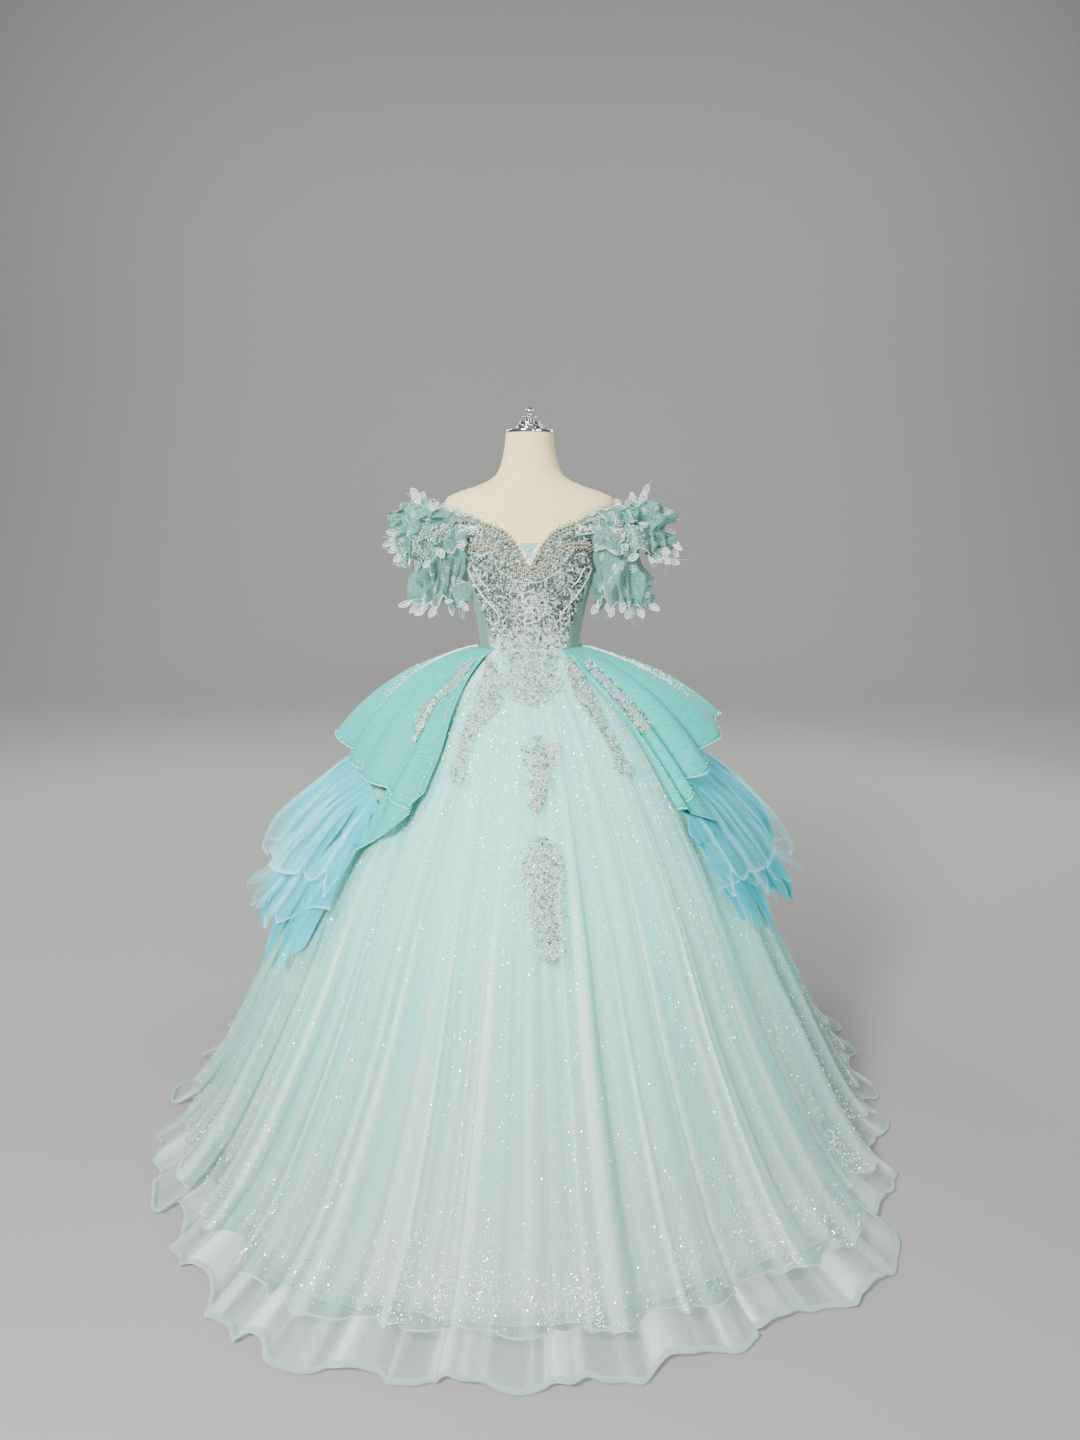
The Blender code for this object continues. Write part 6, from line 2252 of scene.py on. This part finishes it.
    def edges(self, arm: Arm) -> None:
        """Beads along the edges of the ruffle and the fall, and pearls along the band.

        Args:
            arm: the side's sleeve.
        """
        beads, facing = [], []
        for surface, edge, dv in ((arm.ruffle, 3.92, RUFFLE_STEP), (arm.ruffle, 0.1, RUFFLE_STEP),
                                  (arm.fall, 0.975, FALL_STEP), (arm.fall, 0.05, FALL_STEP)):
            shares = np.linspace(0.015, 0.985, self.edge_beads)
            rows = np.full(len(shares), edge)
            out = arm.outward(surface, shares, rows, dv)
            beads.append(surface(shares, rows) + out * 0.0008)
            facing.append(out)
        points, out = np.concatenate(beads), np.concatenate(facing)
        copies("sleeve_beads_" + arm.side, cut_bead(), CRYSTAL_PAINTED_GLINT, points, out,
               arm.random.uniform(0.0013, 0.0019, len(points)), 404, tilt=0.4)
        turns = np.linspace(50.0, 100.0, self.pearls)
        reach = Sleeves().band_radius(turns) + 0.0060 + 0.0080 * ease((turns - 66.0) / 20.0)
        level = SLEEVE_TOP_CURVE(turns) + 0.0010 + 0.0030 * np.sin(turns * 0.5)
        turns = arm.sign * turns
        copies("sleeve_pearls_" + arm.side, pearl_ball(), PEARL, place(turns, reach, level),
               place(turns, 1.0, 0.0), self.pearl, 409, smooth=True)

    def scatter(self, arm: Arm) -> None:
        """Sequins on the ruffle, beads on the band, and small stones all over the lace.

        Args:
            arm: the side's sleeve.
        """
        random = arm.random
        share = np.clip(random.normal(0.20, 0.05, self.sequins), 0.03, 0.9)
        step = np.clip(random.normal(2.6, 0.55, self.sequins), 1.1, 3.8)
        out = arm.outward(arm.ruffle, share, step, RUFFLE_STEP)
        sewn("sleeve_sequins_" + arm.side, arm.ruffle(share, step) + out * 0.0005, out, self.pitch,
             406, 0.40)
        along, drop = random.uniform(46.5, 74.0, self.band_beads), random.random(self.band_beads)
        out = place(arm.sign * along, 1.0, 0.0)
        sewn("band_beads_" + arm.side, arm.band(along, drop) + 0.0004 * out, out, self.pitch, 412)
        run = random.random(self.dots)
        where = np.clip(random.random(self.dots), 0.05, 0.95)
        step = 1.0 + 2.9 * where
        dots = np.concatenate((arm.ruffle(run, step), arm.fall(run[::-1], where)))
        out = np.concatenate((arm.outward(arm.ruffle, run, step, RUFFLE_STEP),
                              arm.outward(arm.fall, run[::-1], where, FALL_STEP)))
        copies("sleeve_dots_" + arm.side, flat_stone(), SILVER_BEAD, dots + out * 0.0007, out,
               random.uniform(0.0007, 0.0011, len(dots)), 408, tilt=0.4)

    def cords(self, arm: Arm) -> None:
        """Corded leaves all over the ruffle, the frill and the fall.

        Args:
            arm: the side's sleeve.
        """
        paths = []
        for surface, reach, count in ((arm.ruffle, (1.2, 3.95), 50), (arm.frill, (0.4, 3.95), 54),
                                      (arm.fall, (0.05, 0.98), 56)):
            shares = arm.random.uniform(0.03, 0.97, count)
            steps = arm.random.uniform(*reach, count)
            paths += self.lace_paths(surface, shares, steps, reach, arm.sign, 420 + count)
        tubes("sleeve_lace_cords_" + arm.side, paths, self.lace, LEAF, 3)

    def build(self) -> None:
        """Build the trims of both sleeves."""
        for side, sign in SIDES.items():
            arm = Arm(side, sign, np.random.default_rng(400 + int(sign)))
            self.leaves(arm)
            self.edges(arm)
            self.scatter(arm)
            self.cords(arm)


# ------------------------------------------------------------------------------ glitter
@dataclass
class Glitter:
    """Glitter flakes in streaks and clusters on the skirts."""

    size: float = 0.0016

    def layer(self, name: str, surface: Surface, clusters: int, flakes: int, low: float,
              high: float, lift: float, seed: int) -> None:
        """Flakes in clusters drawn out along the fall of the cloth.

        Args:
            name: the piece's name.
            surface: the cloth, over turns and skirt steps.
            clusters: how many clusters.
            flakes: flakes in each.
            low: the uppermost step.
            high: the lowest step.
            lift: distance from the cloth.
            seed: for the places.
        """
        random = np.random.default_rng(seed)
        turn = random.uniform(-180.0, 180.0, clusters)
        step = low + (high - low) * random.random(clusters) ** 0.7
        narrow = random.uniform(0.25, 1.4, clusters)
        long = random.uniform(0.05, 0.45, clusters)
        loose = clusters * flakes // 3
        u = (turn[:, None] + narrow[:, None] * random.normal(size=(clusters, flakes))).ravel()
        v = (step[:, None] + long[:, None] * random.normal(size=(clusters, flakes))).ravel()
        u = np.concatenate((u, random.uniform(-180.0, 180.0, loose)))
        v = np.clip(np.concatenate((v, random.uniform(low, high, loose))), low, high)
        out = normals(surface, u, v, 0.3, 0.02)
        sizes = self.size * random.uniform(0.6, 1.40, len(u))
        copies(name, flake(), FLAKE, surface(u, v) + lift * out, out, sizes, seed + 1, tilt=0.45)

    def build(self) -> None:
        """Build the flakes on both skirts."""
        self.layer("glitter_outer", lambda u, v: skirt_point(u, v, 1.0), clusters=1500, flakes=36,
                   low=1.2, high=6.9, lift=0.0010, seed=500)
        self.layer("glitter_inner", underskirt_point, clusters=600, flakes=24, low=2.0, high=7.5,
                   lift=0.0012, seed=510)
        self.layer("glitter_hem", underskirt_point, clusters=700, flakes=36, low=6.6, high=7.54,
                   lift=0.0012, seed=520)


# ------------------------------------------------------------------------------ studio
@dataclass(frozen=True)
class LightRow:
    """A soft square light: its place, the point that it faces, its size and its watts."""

    name: str
    where: tuple[float, float, float]
    aim: tuple[float, float, float]
    size: float
    power: float


LIGHTS = rows_of(
    LightRow, ("key", (-1.55, -2.65, 2.9), (0.0, 0.0, 0.95), 0.8, 330.0),
    ("fill", (2.6, -2.6, 1.8), (0.0, 0.0, 0.9), 1.5, 74.0),
    ("glint_left", (-0.7, -3.0, 2.2), (0.0, 0.0, 1.0), 0.2, 16.0),
    ("glint_right", (0.9, -2.9, 1.5), (0.0, 0.0, 1.0), 0.2, 14.0),
    ("wash_left", (-3.5, 2.2, 4.6), (-1.2, 7.5, 1.5), 2.0, 290.0),
    ("wash_right", (3.5, 2.2, 4.6), (1.2, 7.5, 1.5), 2.0, 290.0),
    ("back_left", (-2.6, 2.8, 2.7), (0.0, 0.0, 0.9), 2.4, 62.0),
    ("back_right", (2.4, 2.9, 2.3), (0.0, 0.0, 0.9), 2.4, 58.0))


@dataclass
class Studio:
    """A pale floor that sweeps up to a wall, soft lights and the camera."""

    camera_place: tuple = (0.0236, -2.43, 1.45)
    camera_pitch: float = 0.21
    lens: float = 26.0
    sensor: float = 36.0
    half_width: float = 14.0
    sweep: float = 3.0
    floor_start: float = -9.0
    flat_rows: float = 8.0
    flat_pitch: float = 1.75
    curve_rows: float = 12.0
    wall_pitch: float = 1.5

    def camera(self) -> None:
        """The camera, level across and tipped down a little."""
        data = bpy.data.cameras.new("camera")
        data.lens = self.lens
        data.sensor_width = self.sensor
        item = bpy.data.objects.new("camera", data)
        item.location = self.camera_place
        item.rotation_euler = (math.pi / 2.0 - self.camera_pitch, 0.0, 0.0)
        bpy.context.scene.collection.objects.link(item)
        bpy.context.scene.camera = item

    def light(self, row: LightRow) -> None:
        """A soft square light that faces a point.

        Args:
            row: the light.
        """
        data = bpy.data.lights.new(row.name, "AREA")
        data.shape = "SQUARE"
        data.size = row.size
        data.energy = row.power
        item = bpy.data.objects.new(row.name, data)
        item.location = row.where
        x, y, z = np.array(row.aim) - np.array(row.where)
        item.rotation_euler = (math.pi / 2.0 + math.atan2(z, math.hypot(x, y)), 0.0,
                               math.atan2(y, x) - math.pi / 2.0)
        bpy.context.scene.collection.objects.link(item)

    def floor(self) -> None:
        """The floor, curved up into a wall behind."""
        deselect()
        bpy.ops.mesh.primitive_grid_add(x_subdivisions=2, y_subdivisions=24, size=2.0)
        floor = bpy.context.object
        floor.name = "floor"
        turned = self.flat_rows + self.curve_rows
        for vertex in floor.data.vertices:
            run = (vertex.co.y + 1.0) * 12.0
            bent = min(max(run - self.flat_rows, 0.0), self.curve_rows) / self.curve_rows
            swing = bent * math.pi / 2.0
            vertex.co.x *= self.half_width
            vertex.co.y = (self.floor_start + self.flat_pitch * min(run, self.flat_rows)
                           + self.sweep * math.sin(swing))
            vertex.co.z = (self.sweep * (1.0 - math.cos(swing))
                           + self.wall_pitch * max(run - turned, 0.0))
        floor.data.shade_smooth()
        paint = bpy.data.materials.new("floor_paint")
        paint.use_nodes = True
        shader = paint.node_tree.nodes["Principled BSDF"]
        shader.inputs["Base Color"].default_value = linear("#888885")
        shader.inputs["Roughness"].default_value = 0.8
        floor.data.materials.append(paint)

    def sky(self) -> None:
        """Soft light from all round, stronger from above."""
        world = bpy.data.worlds.new("studio")
        world.use_nodes = True
        tree = world.node_tree
        backdrop = tree.nodes["Background"]
        backdrop.inputs["Color"].default_value = linear("#e2e5e6")
        where = add_node(tree, "ShaderNodeTexCoord").outputs["Generated"]
        up = add_node(tree, "ShaderNodeSeparateXYZ", Vector=where)
        rise = add_node(tree, "ShaderNodeMapRange", Value=up.outputs[2], From_Min=0.05,
                        From_Max=0.95, To_Min=0.20, To_Max=0.42)
        tree.links.new(rise.outputs[0], backdrop.inputs["Strength"])
        bpy.context.scene.world = world

    def build(self) -> None:
        """Build the studio."""
        self.camera()
        self.floor()
        self.sky()
        for row in LIGHTS:
            self.light(row)


def main() -> None:
    """Build the studio, the form and the gown in order."""
    logging.basicConfig(level=logging.INFO, format="%(name)s %(message)s")
    for part in (Studio(), DressForm(), Bodice(), Skirts(), Drapes(), Bustle(), Sleeves(),
                 BodiceBeads(), Motifs(), DrapeBeads(), SleeveTrims(), Glitter()):
        LOG.info("building %s", type(part).__name__)
        part.build()


if __name__ == "__main__":
    main()
